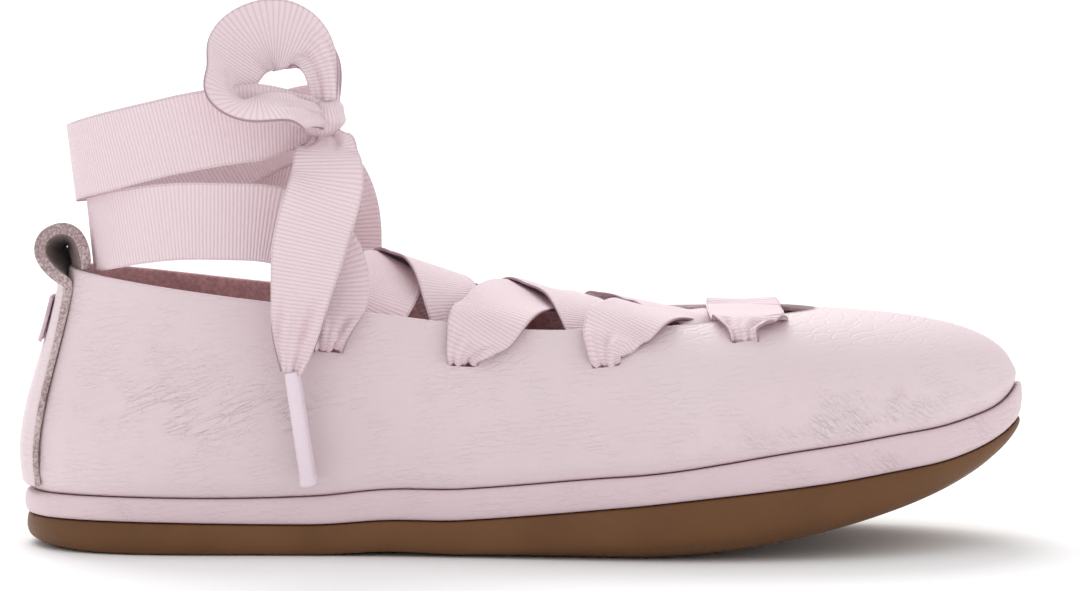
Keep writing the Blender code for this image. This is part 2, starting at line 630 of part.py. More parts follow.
def bar_rows():
    """The straight bar between the two front slits, on top of the throat."""
    front = SLITS[-1]
    clear = RIBBON_CLEARANCE + RIBBON_THICKNESS
    rows = []
    for where, side in zip(both_sides(front.station), (-1, 1)):
        top = on_wall(where, 1.0, 0) + np.array([0, side * -0.0010, 0.0022])
        points = [on_wall(where, front.height + 0.02, clear), on_wall(where, 0.95, clear * 1.15), top]
        ends = [RibbonRow(*p, -1, 0, 0, share) for p, share in zip(points, (0.36, 0.8, 1.0))]
        rows.append(ends)
    middle = (np.array(rows[0][-1]) + np.array(rows[1][-1])) / 2
    middle[2] = BAR_CREST * INSTEP_HEIGHT
    return [*rows[0], RibbonRow(*middle), *rows[1][::-1]]


def joined_strips(name, strips, group, cutters, finish):
    """Ribbon strips made one solid where they cross."""
    whole = ribbon_object(name, strips[0], finish, group)
    for rows in strips[1:]:
        piece = ribbon_object("ribbon_piece", rows, finish, cutters)
        piece.hide_render = True
        piece.display_type = "WIRE"
        join = whole.modifiers.new("join", "BOOLEAN")
        join.operation = "UNION"
        join.object = piece
    return whole


def build_lacing(group, cutters, finish, knot_cutter):
    """The two halves round the ankle, the rear and the middle crossing, and the front crossing
    with the bar that closes it."""
    crossings = []
    for number, (rear, front) in enumerate(zip(SLITS, SLITS[1:])):
        outside = number > 0
        over = crossing_rows(rear, front, -1, OVER_CRESTS[number], outside)
        under = crossing_rows(rear, front, 1, UNDER_CRESTS[number], outside)
        crossings.append([over, under])
    for name, rows in (("ankle_ribbon_outer", OUTER_HALF), ("ankle_ribbon_inner", INNER_HALF)):
        cut_at_knot(ribbon_object(name, rows, finish, group), knot_cutter)
    joined_strips("lace_rear", crossings[0], group, cutters, finish)
    joined_strips("lace_middle", crossings[1], group, cutters, finish)
    joined_strips("lace_front", [*crossings[2], bar_rows()], group, cutters, finish)


def cut_at_knot(target, knot_cutter):
    cut = target.modifiers.new("knot", "BOOLEAN")
    cut.operation = "DIFFERENCE"
    cut.object = knot_cutter


def knot_mesh(name, margin):
    ball = bmesh.new()
    bmesh.ops.create_uvsphere(ball, u_segments=16, v_segments=10, radius=1)
    for corner in ball.verts:
        for k in range(3):
            corner.co[k] = KNOT_PLACE[k] + corner.co[k] * (KNOT_SIZE[k] + margin)
    mesh = bpy.data.meshes.new(name)
    ball.to_mesh(mesh)
    ball.free()
    for face in mesh.polygons:
        face.use_smooth = True
    return mesh


def build_knot(group, cutters, finish):
    add_object("bow_knot", knot_mesh("bow_knot", 0), finish, group)
    cutter = add_object("knot_cutter", knot_mesh("knot_cutter", KNOT_GAP), finish, cutters)
    cutter.hide_render = True
    cutter.display_type = "WIRE"
    return cutter


def build_aglet(name, rows, foot, finish, group):
    """The hard clear end of a ribbon, a rod from just under its last row to foot."""
    last, foot = np.array(rows[-1][:3]), np.array(foot)
    along = foot - last
    along /= np.linalg.norm(along)
    curve = bpy.data.curves.new(name, "CURVE")
    curve.dimensions = "3D"
    curve.bevel_depth = AGLET_RADIUS
    curve.bevel_resolution = 2
    curve.use_fill_caps = True
    line = curve.splines.new("POLY")
    line.points.add(1)
    start = last + along * AGLET_GAP
    line.points[0].co = (*start, 1)
    line.points[1].co = (*(start + along * AGLET_LENGTH), 1)
    made = bpy.data.objects.new(name, curve)
    curve.materials.append(finish)
    group.objects.link(made)


def build_bow(group, finish, knot_cutter):
    parts = [("bow_loop_near", LOOP_NEAR), ("bow_loop_far", LOOP_FAR)]
    parts += [("ribbon_tail_near", TAIL_NEAR), ("ribbon_tail_behind", TAIL_BEHIND)]
    for name, rows in parts:
        cut_at_knot(ribbon_object(name, rows, finish, group), knot_cutter)
    film = material("aglet_film", (0.745, 0.604, 0.665), 0.2)
    build_aglet("aglet_near", TAIL_NEAR, AGLET_NEAR_FOOT, film, group)
    build_aglet("aglet_behind", TAIL_BEHIND, AGLET_BEHIND_FOOT, film, group)


def centre_on_floor(group, cutters):
    """Moves every object so that the box round the pieces that aren't loose ribbon stands with the
    middle of its underside on the origin."""
    graph = bpy.context.evaluated_depsgraph_get()
    corners = []
    for piece in group.objects:
        if piece.name.startswith(LOOSE):
            continue
        shape = piece.evaluated_get(graph)
        mesh = shape.to_mesh()
        corners += [corner.co.copy() for corner in mesh.vertices]
        shape.to_mesh_clear()
    box = np.array(corners)
    shift = -(box.min(0) + box.max(0)) / 2
    shift[2] = -box[:, 2].min()
    for piece in [*group.objects, *cutters.objects]:
        piece.location = shift


def main():
    for old in list(bpy.data.objects):
        bpy.data.objects.remove(old, do_unlink=True)
    group = bpy.data.collections.new("ballet_flat")
    cutters = bpy.data.collections.new("cutters")
    for made in (group, cutters):
        bpy.context.scene.collection.children.link(made)
    build_outsole(group)
    build_midsole(group)
    build_insole(group)
    build_upper(group, cutters)
    build_heel_strip(group)
    build_heel_patch(group)
    ribbon = material("ribbon_grosgrain", (0.723, 0.597, 0.631), 0.7)
    knot_cutter = build_knot(group, cutters, ribbon)
    build_lacing(group, cutters, ribbon, knot_cutter)
    build_bow(group, ribbon, knot_cutter)
    centre_on_floor(group, cutters)


main()
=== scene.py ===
# Lace-up ballet flat, right shoe: the looks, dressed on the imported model.
# Metres. Lengths along the shoe are counted from the back of the sole, as in the part's own
# source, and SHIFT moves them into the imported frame.
import math
from collections import namedtuple

import bmesh
import bpy
import numpy as np
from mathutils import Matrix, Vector
from mathutils.bvhtree import BVHTree


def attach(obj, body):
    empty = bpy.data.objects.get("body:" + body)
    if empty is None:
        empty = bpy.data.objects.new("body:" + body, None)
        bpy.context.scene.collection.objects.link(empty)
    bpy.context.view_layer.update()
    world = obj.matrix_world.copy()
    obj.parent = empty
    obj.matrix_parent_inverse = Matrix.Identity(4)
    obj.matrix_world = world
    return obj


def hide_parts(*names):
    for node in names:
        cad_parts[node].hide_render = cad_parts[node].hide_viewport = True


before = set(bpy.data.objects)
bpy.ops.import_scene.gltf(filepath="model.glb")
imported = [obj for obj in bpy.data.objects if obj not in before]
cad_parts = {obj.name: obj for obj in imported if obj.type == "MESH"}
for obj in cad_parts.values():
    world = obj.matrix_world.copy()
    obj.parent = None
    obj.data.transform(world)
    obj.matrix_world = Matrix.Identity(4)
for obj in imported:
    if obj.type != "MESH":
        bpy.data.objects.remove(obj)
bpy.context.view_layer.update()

# From the back of the sole, on its middle line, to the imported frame's origin
SHIFT = np.array([-0.12438901, -0.00043439, 0.0])

# Driving sizes of the last and the sole
SOLE_LENGTH = 0.2505
BALL_WIDTH = 0.0855
COLLAR_HEIGHT = 0.0690
INSTEP_HEIGHT = 0.0584
GUM_THICKNESS = 0.0080
RAND_HEIGHT = 0.0062
TOE_SPRING = 0.0220
TOE_CURL = 0.0062
ARCH_LIFT = 0.0008
EDGE_ROLL = 0.0028
UPPER_WALL = 0.0016
INSOLE_THICKNESS = 0.0025
FEATHER_INSET = 0.0019
FIT_GAP = 0.0003
INSOLE_CLEARANCE = 0.0007

# Heel strip, its pull loop and the blank patch
STRIP_WIDTH = 0.0170
STRIP_THICKNESS = 0.0022
LOOP_DEPTH = 0.0105
LOOP_HEIGHT = 0.0120
PATCH_WIDTH = 0.0105
PATCH_THICKNESS = 0.0009

# Ribbon, with its slits and its hard ends. CAD_RIBBON is the thickness of its solids, and a
# gathered ribbon has folds up to FOLD_HEIGHT tall.
RIBBON_WIDTH = 0.0190
RIBBON_THICKNESS = 0.0006
RIBBON_CLEARANCE = 0.0005
CAD_RIBBON = 0.0010
RIB_PITCH = 0.00095
FOLD_HEIGHT = 0.00085
SLIT_LENGTH = 0.0070
SLIT_HEIGHT = 0.0017
AGLET_RADIUS = 0.0019
AGLET_LENGTH = 0.0275
KNOT_PLACE = (0.0762, -0.0205, 0.1068)
KNOT_WIDTH = 0.0046
KNOT_DEPTH = 0.0050
KNOT_SHARE = 0.48
# How far a strip may be lifted over the last strip below it and over the two before that
LAY_LIFTS = (0.0025, 0.0009, 0.0009)

# Camera and light: the photo's width and its focal length in pixels, and where the camera looks
PHOTO_WIDTH = 1080
FOCAL_PIXELS = 5000
SENSOR = 36
CAMERA_AIM = (0.129, 0.0, 0.0617)
CAMERA_TILT = math.radians(5.0)
CAMERA_DISTANCE = 1.25
DOME_LIGHT = 0.90
KEY_LIGHT = 1.7
KEY_SPREAD = math.radians(40)
KEY_FROM = (-0.30, 0.90, 0.85)
FLOOR_SIZE = 12


def table(kind, *rows):
    """The rows of a table, each of the same kind."""
    return [kind(*row) for row in rows]


Station = namedtuple(
    "Station", "sole_x sole_y top_x top_y collar instep low_out low_up top_out top_down"
)
# One row for each station round the last, from the back of the heel along the outer side to
# the toe and back along the inner side. sole_x and top_x are shares of SOLE_LENGTH, sole_y and
# top_y of BALL_WIDTH; the topline's height is collar * COLLAR_HEIGHT + instep * INSTEP_HEIGHT.
# The wall leaves the sole by low_out (share of BALL_WIDTH) and low_up (share of the wall's
# height) and meets the topline from top_out and top_down, in the same shares.
LAST = table(
    Station,
    (0.000, 0.000, 0.046, 0.000, 1.00, 0.00, 0.058, 0.30, 0.020, 0.34),
    (0.028, -0.215, 0.062, -0.150, 0.99, 0.00, 0.050, 0.30, 0.022, 0.34),
    (0.108, -0.333, 0.135, -0.262, 0.95, 0.00, 0.036, 0.32, 0.026, 0.34),
    (0.228, -0.351, 0.248, -0.298, 0.66, 0.28, 0.028, 0.33, 0.030, 0.34),
    (0.359, -0.368, 0.372, -0.310, 0.35, 0.59, 0.018, 0.34, 0.038, 0.34),
    (0.487, -0.421, 0.487, -0.316, 0.12, 0.81, 0.022, 0.36, 0.062, 0.32),
    (0.619, -0.485, 0.598, -0.312, 0.02, 0.93, 0.030, 0.42, 0.110, 0.22),
    (0.739, -0.491, 0.684, -0.248, 0.00, 0.975, 0.030, 0.52, 0.165, 0.12),
    (0.854, -0.398, 0.746, -0.152, 0.00, 0.992, 0.024, 0.58, 0.235, 0.07),
    (0.946, -0.199, 0.779, -0.060, 0.00, 0.998, 0.018, 0.62, 0.330, 0.06),
    (1.000, 0.094, 0.790, 0.024, 0.00, 1.000, 0.014, 0.62, 0.420, 0.07),
    (0.962, 0.327, 0.779, 0.108, 0.00, 0.998, 0.018, 0.62, 0.330, 0.06),
    (0.878, 0.456, 0.746, 0.196, 0.00, 0.993, 0.024, 0.58, 0.235, 0.07),
    (0.758, 0.509, 0.684, 0.278, 0.00, 0.980, 0.028, 0.52, 0.165, 0.12),
    (0.631, 0.468, 0.598, 0.328, 0.02, 0.945, 0.024, 0.44, 0.105, 0.22),
    (0.495, 0.363, 0.487, 0.328, 0.12, 0.830, 0.014, 0.38, 0.050, 0.32),
    (0.363, 0.316, 0.372, 0.318, 0.35, 0.605, 0.008, 0.36, 0.030, 0.34),
    (0.228, 0.333, 0.248, 0.302, 0.66, 0.290, 0.020, 0.34, 0.026, 0.34),
    (0.108, 0.327, 0.135, 0.264, 0.95, 0.005, 0.034, 0.32, 0.026, 0.34),
    (0.028, 0.213, 0.062, 0.152, 0.99, 0.000, 0.050, 0.30, 0.022, 0.34),
)

Side = namedtuple("Side", "station roll gum rand")
# The sole's side along its length: station is a share of SOLE_LENGTH, roll of EDGE_ROLL,
# gum (above the ground line) of GUM_THICKNESS and rand of RAND_HEIGHT.
SIDES = table(
    Side,
    (0.00, 0.75, 0.96, 0.97),
    (0.05, 0.30, 1.00, 0.98),
    (0.12, 0.10, 1.00, 0.98),
    (0.24, 0.10, 0.95, 1.05),
    (0.36, 0.15, 1.00, 1.22),
    (0.47, 0.50, 1.22, 1.24),
    (0.57, 0.95, 1.54, 1.24),
    (0.64, 1.20, 1.74, 1.20),
    (0.70, 1.20, 1.77, 1.30),
    (0.76, 1.05, 1.67, 1.42),
    (0.82, 0.80, 1.48, 1.44),
    (0.87, 0.70, 1.27, 1.43),
    (0.91, 0.65, 1.02, 1.40),
    (0.95, 0.55, 0.78, 1.34),
    (0.98, 0.40, 0.55, 1.30),
    (1.00, 0.25, 0.36, 1.50),
)
ARCH_FROM = 0.29
ARCH_TO = 0.44
SPRING_FROM = 0.60
SPRING_POWER = 1.75
CURL_POWER = 12

Slit = namedtuple("Slit", "station height")
# The four pairs of slits from the ankle to the toe: where round the last, and how high up
# the wall, as a share of its rows.
SLITS = table(Slit, (3.50, 0.80), (4.60, 0.775), (5.80, 0.73), (7.16, 0.76))

Crest = namedtuple("Crest", "along across height lean")
# Where each crossing goes over the instep, from the ankle to the toe: along is a share of
# SOLE_LENGTH, across of BALL_WIDTH towards the side of its rear end, height of INSTEP_HEIGHT, and
# lean is how far its rear edge stands above its front edge, as a share of RIBBON_WIDTH. Each
# crossing that starts on the inner side lies on the one that starts opposite.
OUTER_CRESTS = table(Crest, (0.366, 0.06, 1.165, 0.45), (0.497, 0.06, 1.065, 0.36),
                     (0.634, 0.07, 0.998, 0.16))
INNER_CRESTS = table(Crest, (0.405, 0.03, 1.185, 0.34), (0.545, 0.03, 1.058, 0.20),
                     (0.652, 0.02, 0.960, 0.06))
BAR_CREST = 0.985

Crease = namedtuple("Crease", "side x1 z1 x2 z2 x3 z3 depth width")
# The main creases of the upper, each a bent line seen from the side, in metres: side is -1 on
# the outer side and 1 on the inner side, depth and width are those of its soft trough.
CREASES = table(
    Crease,
    (-1, 0.0140, 0.0272, 0.0215, 0.0338, 0.0354, 0.0383, 0.00042, 0.0012),
    (-1, 0.0200, 0.0300, 0.0330, 0.0352, 0.0500, 0.0402, 0.00028, 0.0011),
    (-1, 0.0330, 0.0330, 0.0480, 0.0368, 0.0640, 0.0428, 0.00024, 0.0011),
    (-1, 0.0480, 0.0320, 0.0600, 0.0352, 0.0720, 0.0400, 0.00020, 0.0010),
    (-1, 0.0300, 0.0430, 0.0440, 0.0465, 0.0580, 0.0500, 0.00018, 0.0012),
    (-1, 0.1980, 0.0405, 0.2040, 0.0370, 0.2080, 0.0330, 0.00018, 0.0008),
    (-1, 0.2060, 0.0420, 0.2120, 0.0385, 0.2160, 0.0345, 0.00020, 0.0008),
    (-1, 0.2150, 0.0430, 0.2200, 0.0400, 0.2240, 0.0362, 0.00016, 0.0008),
    (-1, 0.1840, 0.0350, 0.1920, 0.0325, 0.1990, 0.0295, 0.00014, 0.0008),
    (1, 0.0180, 0.0290, 0.0300, 0.0345, 0.0450, 0.0385, 0.00032, 0.0012),
    (1, 0.0360, 0.0330, 0.0500, 0.0375, 0.0660, 0.0420, 0.00024, 0.0011),
    (1, 0.1900, 0.0400, 0.1970, 0.0365, 0.2020, 0.0325, 0.00018, 0.0009),
)

Patch = namedtuple("Patch", "side x z reach_x reach_z strength")
# Where fine wrinkles gather on the leather, as soft patches seen from the side. Their lines are
# pressed in and also darkened in colour, painted shade in the creases.
REAR_WRINKLES = table(
    Patch,
    (-1, 0.0380, 0.0345, 0.0230, 0.0085, 1.0), (-1, 0.0680, 0.0360, 0.0220, 0.0080, 0.7),
    (-1, 0.0330, 0.0500, 0.0250, 0.0080, 0.45), (1, 0.0420, 0.0350, 0.0260, 0.0090, 0.9),
    (-1, 0.1080, 0.0400, 0.0260, 0.0080, 0.35),
)
TOE_WRINKLES = table(
    Patch,
    (-1, 0.2020, 0.0345, 0.0170, 0.0070, 1.0), (-1, 0.2220, 0.0390, 0.0120, 0.0065, 0.6),
    (-1, 0.1740, 0.0300, 0.0150, 0.0050, 0.5), (1, 0.1960, 0.0345, 0.0200, 0.0080, 0.9),
)
# Cracks in the rand, carried by its toe attribute: pressed in and darkened in colour as painted
# shade.
RAND_CRACKS = table(
    Patch,
    (-1, 0.2130, 0.0250, 0.0090, 0.0060, 1.0), (-1, 0.1960, 0.0220, 0.0080, 0.0050, 0.6),
    (-1, 0.2390, 0.0330, 0.0060, 0.0060, 0.8), (-1, 0.0270, 0.0100, 0.0050, 0.0040, 0.5),
    (1, 0.2080, 0.0250, 0.0140, 0.0070, 0.8), (1, 0.0300, 0.0100, 0.0060, 0.0040, 0.5),
)

Ring = namedtuple("Ring", "inset share middle", defaults=[0.0])
# Rings of each slab from the middle of its top to the middle of its underside: inset in metres,
# height as a share of its side, or of its edge's roll below 0, and how far it is drawn in to the
# middle line.
RAND_RINGS = table(
    Ring,
    (0.0060, 1.0, 1.0), (0.0060, 1.0), (0.0030, 1.0), (0.0018, 1.0),
    (0.0011, 0.985), (0.0006, 0.94), (0.0003, 0.86), (0.0001, 0.74),
    (0.0, 0.60), (0.0, 0.45), (0.0001, 0.30), (0.0003, 0.16),
    (0.0007, 0.05), (0.0014, 0.0), (0.0060, 0.0), (0.0060, 0.0, 1.0),
)
GUM_RINGS = table(
    Ring,
    (0.0060, 1.0, 1.0), (0.0060, 1.0), (0.0016, 1.0), (0.0010, 0.985),
    (0.0008, 0.93), (0.0006, 0.78), (0.0005, 0.60), (0.0005, 0.42),
    (0.0007, 0.26), (0.0010, 0.14), (0.0015, 0.05), (0.0022, 0.0),
    (0.0036, -0.42), (0.0055, -0.72), (0.0078, -0.92), (0.0100, -1.0),
    (0.0100, -1.0, 0.33), (0.0100, -1.0, 0.66), (0.0100, -1.0, 1.0),
)
INSOLE_RINGS = table(
    Ring,
    (0.0030, 1.0, 1.0), (0.0030, 1.0, 0.5), (0.0030, 1.0), (0.0010, 1.0),
    (0.0004, 0.95), (0.0, 0.7), (0.0, 0.0), (0.0030, 0.0), (0.0030, 0.0, 1.0),
)

Lines = namedtuple("Lines", "turn along across thin move")
# Families of fine creases in the leather: how they are turned, how many there are to a metre
# along and across them, how thin they are and where they start
REAR_LINES = table(Lines, (-0.30, 85.0, 420.0, 0.070, (0, 0, 0)),
                   (-0.42, 100.0, 520.0, 0.060, (0.003, 0.001, 0.002)))
TOE_LINES = table(Lines, (0.85, 170.0, 700.0, 0.09, (0.005, 0.002, 0.001)),
                  (0.60, 180.0, 760.0, 0.08, (0.001, 0.004, 0.003)))
FINE_LINES = Lines(-0.12, 210.0, 720.0, 0.13, (0.007, 0.007, 0.007))

# The loop's turn, as shares of LOOP_DEPTH and LOOP_HEIGHT from the strip's top on the wall
LOOP_TURN = [(-0.16, 0.14), (-0.44, 0.42), (-0.52, 0.72), (-0.34, 1.02), (0.05, 1.17)]
LOOP_TURN += [(0.40, 1.04), (0.52, 0.72), (0.50, 0.38)]
LOOP_CENTRE = 0.62
# Where the heel strip starts and ends on the outer face and its places on the lining, as heights
# on the wall, and its width at the top and what it gains towards the foot, as shares of
# STRIP_WIDTH
STRIP_FOOT = 0.035
STRIP_TOP = 0.93
STRIP_ROWS = 9
STRIP_INSIDE = (0.93, 0.86, 0.78)
STRIP_TOP_SHARE = 1.20
STRIP_SPREAD = 1.40
PATCH_LOW = 0.66
PATCH_HIGH = 0.86
# The heel strip's thickness along it, as places from 0 to 1 and shares of STRIP_THICKNESS
STRIP_SWELL = ((0, 0.3, 0.42, 0.5, 0.8, 0.9, 1), (0.7, 0.8, 1.1, 1.3, 1.3, 0.9, 0.8))

# How finely the pieces are cut
ROUND_THE_LAST = 480
UP_THE_WALL = 84
OVER_THE_TOPLINE = 6
DOWN_THE_LINING = 26
ROUND_THE_SOLE = 420
RIBBON_ROW_STEP = 0.0008
RIBBON_COLUMNS = 26
BAND_EDGE = 6
BAND_ROWS = 150
BAND_POINTS = 5
KNOT_STEPS = 12

RibbonRow = namedtuple("RibbonRow", "x y z up_x up_y up_z share")

# The two ribbon halves: each rises from its rear slit, turns back at the ankle and goes once
# round it to the knot. up_x, up_y and up_z point from the ribbon's lower edge to its upper edge.
OUTER_HALF = table(
    RibbonRow,
    (0.0776, -0.0318, 0.0530, 1.0, 0.0, 0.0, 0.42),
    (0.0780, -0.0299, 0.0605, 1.0, 0.0, 0.0, 0.85),
    (0.0778, -0.0286, 0.0685, 1.0, 0.0, 0.25, 1.00),
    (0.0740, -0.0276, 0.0765, 0.7, 0.0, 0.7, 1.00),
    (0.0650, -0.0270, 0.0812, 0.15, 0.0, 1.0, 1.00),
    (0.0530, -0.0275, 0.0822, 0.0, -0.05, 1.0, 1.00),
    (0.0410, -0.0268, 0.0822, 0.0, -0.05, 1.0, 1.00),
    (0.0245, -0.0190, 0.0797, 0.0, -0.05, 1.0, 1.00),
    (0.0171, 0.0000, 0.0774, -0.10, 0.0, 1.0, 1.00),
    (0.0250, 0.0192, 0.0812, 0.0, 0.05, 1.0, 1.00),
    (0.0420, 0.0268, 0.0905, 0.0, 0.05, 1.0, 1.00),
    (0.0600, 0.0250, 0.1005, 0.0, 0.05, 1.0, 1.00),
    (0.0728, 0.0090, 0.1050, 0.0, 0.0, 1.0, 0.95),
    (0.0770, -0.0205, 0.1060, 0.0, 0.0, 1.0, 0.42),
)
INNER_HALF = table(
    RibbonRow,
    (0.0780, 0.0318, 0.0540, 1.0, 0.0, 0.0, 0.42),
    (0.0785, 0.0305, 0.0620, 1.0, 0.0, 0.0, 0.85),
    (0.0790, 0.0292, 0.0710, 1.0, 0.0, 0.1, 1.00),
    (0.0785, 0.0285, 0.0805, 1.0, 0.0, 0.2, 1.00),
    (0.0745, 0.0288, 0.0895, 0.75, 0.0, 0.65, 1.00),
    (0.0640, 0.0298, 0.0950, 0.2, 0.0, 1.0, 1.00),
    (0.0430, 0.0305, 0.0950, 0.0, 0.1, 1.0, 1.00),
    (0.0240, 0.0222, 0.0942, 0.0, 0.1, 1.0, 1.00),
    (0.0125, 0.0000, 0.0948, -0.12, 0.0, 1.0, 1.00),
    (0.0240, -0.0226, 0.0993, 0.0, -0.1, 1.0, 1.00),
    (0.0420, -0.0288, 0.1038, 0.0, -0.1, 1.0, 1.00),
    (0.0600, -0.0278, 0.1065, 0.0, -0.05, 1.0, 1.00),
    (0.0770, -0.0205, 0.1070, 0.0, 0.0, 1.0, 0.38),
)

# The bow: a loop towards the camera side and one behind it, and the two ends that hang from
# the knot, one behind the other
LOOP_NEAR = table(
    RibbonRow,
    (0.0758, -0.0215, 0.1085, 0.98, 0.0, -0.1, 0.32),
    (0.0760, -0.0208, 0.1135, 0.98, 0.1, 0.0, 0.36),
    (0.0752, -0.0198, 0.1190, 0.90, 0.2, 0.25, 0.46),
    (0.0728, -0.0190, 0.1240, 0.60, 0.25, 0.65, 0.66),
    (0.0680, -0.0186, 0.1268, 0.12, 0.30, 0.93, 0.90),
    (0.0615, -0.0190, 0.1272, -0.16, 0.35, 0.92, 0.98),
    (0.0565, -0.0215, 0.1246, -0.45, 0.30, 0.85, 0.92),
    (0.0541, -0.0258, 0.1203, -0.70, -0.20, 0.58, 0.82),
    (0.0532, -0.0310, 0.1158, -0.50, -0.80, 0.20, 0.78),
    (0.0545, -0.0357, 0.1124, -0.32, -0.92, -0.18, 0.80),
    (0.0592, -0.0377, 0.1106, -0.10, -0.93, -0.36, 0.82),
    (0.0660, -0.0362, 0.1108, 0.05, -0.93, -0.36, 0.78),
    (0.0722, -0.0302, 0.1093, 0.20, -0.80, -0.50, 0.50),
    (0.0757, -0.0246, 0.1070, 0.30, -0.60, -0.70, 0.28),
)
LOOP_FAR = table(
    RibbonRow,
    (0.0765, -0.0190, 0.1100, 0.9, 0.0, 0.1, 0.34),
    (0.0764, -0.0145, 0.1165, 0.85, 0.2, 0.2, 0.38),
    (0.0742, -0.0085, 0.1215, 0.55, 0.3, 0.7, 0.50),
    (0.0690, -0.0035, 0.1245, 0.1, 0.4, 0.9, 0.66),
    (0.0620, 0.0000, 0.1245, -0.1, 0.5, 0.85, 0.74),
    (0.0560, -0.0020, 0.1222, -0.35, 0.5, 0.8, 0.76),
    (0.0533, -0.0070, 0.1165, -0.5, 0.6, 0.5, 0.76),
    (0.0585, -0.0118, 0.1090, 0.0, 0.75, 0.6, 0.70),
    (0.0655, -0.0140, 0.1072, 0.0, 0.6, 0.7, 0.50),
    (0.0728, -0.0185, 0.1052, 0.0, 0.5, 0.8, 0.32),
)
TAIL_NEAR = table(
    RibbonRow,
    (0.0765, -0.0235, 0.1032, -1.0, 0.0, 0.0, 0.38),
    (0.0772, -0.0315, 0.0998, -1.0, 0.0, 0.1, 0.80),
    (0.0775, -0.0358, 0.0940, -1.0, 0.0, 0.1, 0.92),
    (0.0748, -0.0377, 0.0837, -1.0, 0.0, 0.2, 0.96),
    (0.0726, -0.0383, 0.0749, -1.0, 0.0, 0.2, 0.92),
    (0.0707, -0.0383, 0.0637, -1.0, 0.0, 0.2, 0.74),
    (0.0697, -0.0381, 0.0554, -1.0, 0.0, 0.1, 0.60),
    (0.0686, -0.0379, 0.0462, -1.0, 0.0, 0.0, 0.26),
)
TAIL_BEHIND = table(
    RibbonRow,
    (0.0765, -0.0208, 0.1018, -1.0, 0.0, 0.0, 0.34),
    (0.0768, -0.0272, 0.0952, -1.0, 0.0, 0.1, 0.75),
    (0.0766, -0.0318, 0.0880, -1.0, 0.0, 0.1, 0.88),
    (0.0746, -0.0336, 0.0800, -1.0, 0.0, 0.2, 0.90),
    (0.0724, -0.0338, 0.0720, -1.0, 0.0, 0.2, 0.86),
    (0.0707, -0.0336, 0.0625, -1.0, 0.0, 0.2, 0.70),
    (0.0697, -0.0334, 0.0545, -1.0, 0.0, 0.1, 0.56),
    (0.0687, -0.0333, 0.0465, -1.0, 0.0, 0.0, 0.26),
)
# Where each half of the bow passes back through the knot, and where its film end stops
THROUGH_NEAR = RibbonRow(0.0758, -0.0226, 0.1046, -0.7, 0.4, 0.5, 0.26)
THROUGH_FAR = RibbonRow(0.0756, -0.0196, 0.1034, -0.7, 0.4, 0.5, 0.26)
AGLET_NEAR_FOOT = (0.0726, -0.0378, 0.0185)
AGLET_BEHIND_FOOT = (0.0727, -0.0332, 0.0190)


def natural_curve(knots, values, at):
    """The natural cubic curve through values (one row a knot), read at each number of at."""
    knots, values = np.asarray(knots, float), np.asarray(values, float)
    steps = np.diff(knots)
    count = len(knots)
    system, right = np.eye(count), np.zeros_like(values)
    for i in range(1, count - 1):
        system[i, i - 1 : i + 2] = steps[i - 1], 2 * (steps[i - 1] + steps[i]), steps[i]
        before = (values[i] - values[i - 1]) / steps[i - 1]
        right[i] = 6 * ((values[i + 1] - values[i]) / steps[i] - before)
    bend = np.linalg.solve(system, right)
    place = np.clip(np.searchsorted(knots, at) - 1, 0, count - 2)
    step = steps[place][:, None]
    left = (knots[place + 1] - at)[:, None] / step
    rest = 1 - left
    curve = left * values[place] + rest * values[place + 1]
    bow = (left**3 - left) * bend[place] + (rest**3 - rest) * bend[place + 1]
    return curve + bow * step**2 / 6


def last_at(where):
    """The last's table read at any place round it, where whole numbers are its rows."""
    around, margin = len(LAST), 4
    knots = np.arange(-margin, around + margin + 1)
    rows = np.array([LAST[k % around] for k in knots])
    return Station(*natural_curve(knots, rows, np.mod(np.atleast_1d(where), around)).T)


def sole_outline(where, inset):
    """The sole's outline in plan, moved in by inset."""
    def point(at):
        row = last_at(at)
        return np.stack([row.sole_x * SOLE_LENGTH, row.sole_y * BALL_WIDTH], 1)

    small = 0.02
    where = np.atleast_1d(where).astype(float)
    along = point(where + small) - point(where - small)
    along /= np.linalg.norm(along, axis=1)[:, None]
    inwards = np.stack([-along[:, 1], along[:, 0]], 1)
    return point(where) + inwards * inset


def sides_at(x):
    """roll, gum and rand thickness at a distance from the heel, in metres."""
    rows = np.array(SIDES)
    share = np.clip(np.asarray(x) / SOLE_LENGTH, rows[0, 0], rows[-1, 0])
    read = natural_curve(rows[:, 0], rows[:, 1:], share)
    return read[:, 0] * EDGE_ROLL, read[:, 1] * GUM_THICKNESS, read[:, 2] * RAND_HEIGHT


def ground_line(x):
    """How high the middle of the tread stands: flat heel, low arch, flat forefoot, rising toe."""
    share = np.asarray(x) / SOLE_LENGTH
    toe = np.clip((share - SPRING_FROM) / (1 - SPRING_FROM), 0, 1.02)
    arch = np.clip((share - ARCH_FROM) / (ARCH_TO - ARCH_FROM), 0, 1)
    spring = TOE_SPRING * toe**SPRING_POWER + TOE_CURL * toe**CURL_POWER
    return spring + ARCH_LIFT * np.sin(math.pi * arch) ** 2


def gum_top(x):
    """How high the gum's top face stands at a distance from the heel."""
    return ground_line(x) + sides_at(x)[1]


def rand_top(x):
    """How high the rand's top face stands at a distance from the heel."""
    return gum_top(x) + sides_at(x)[2]


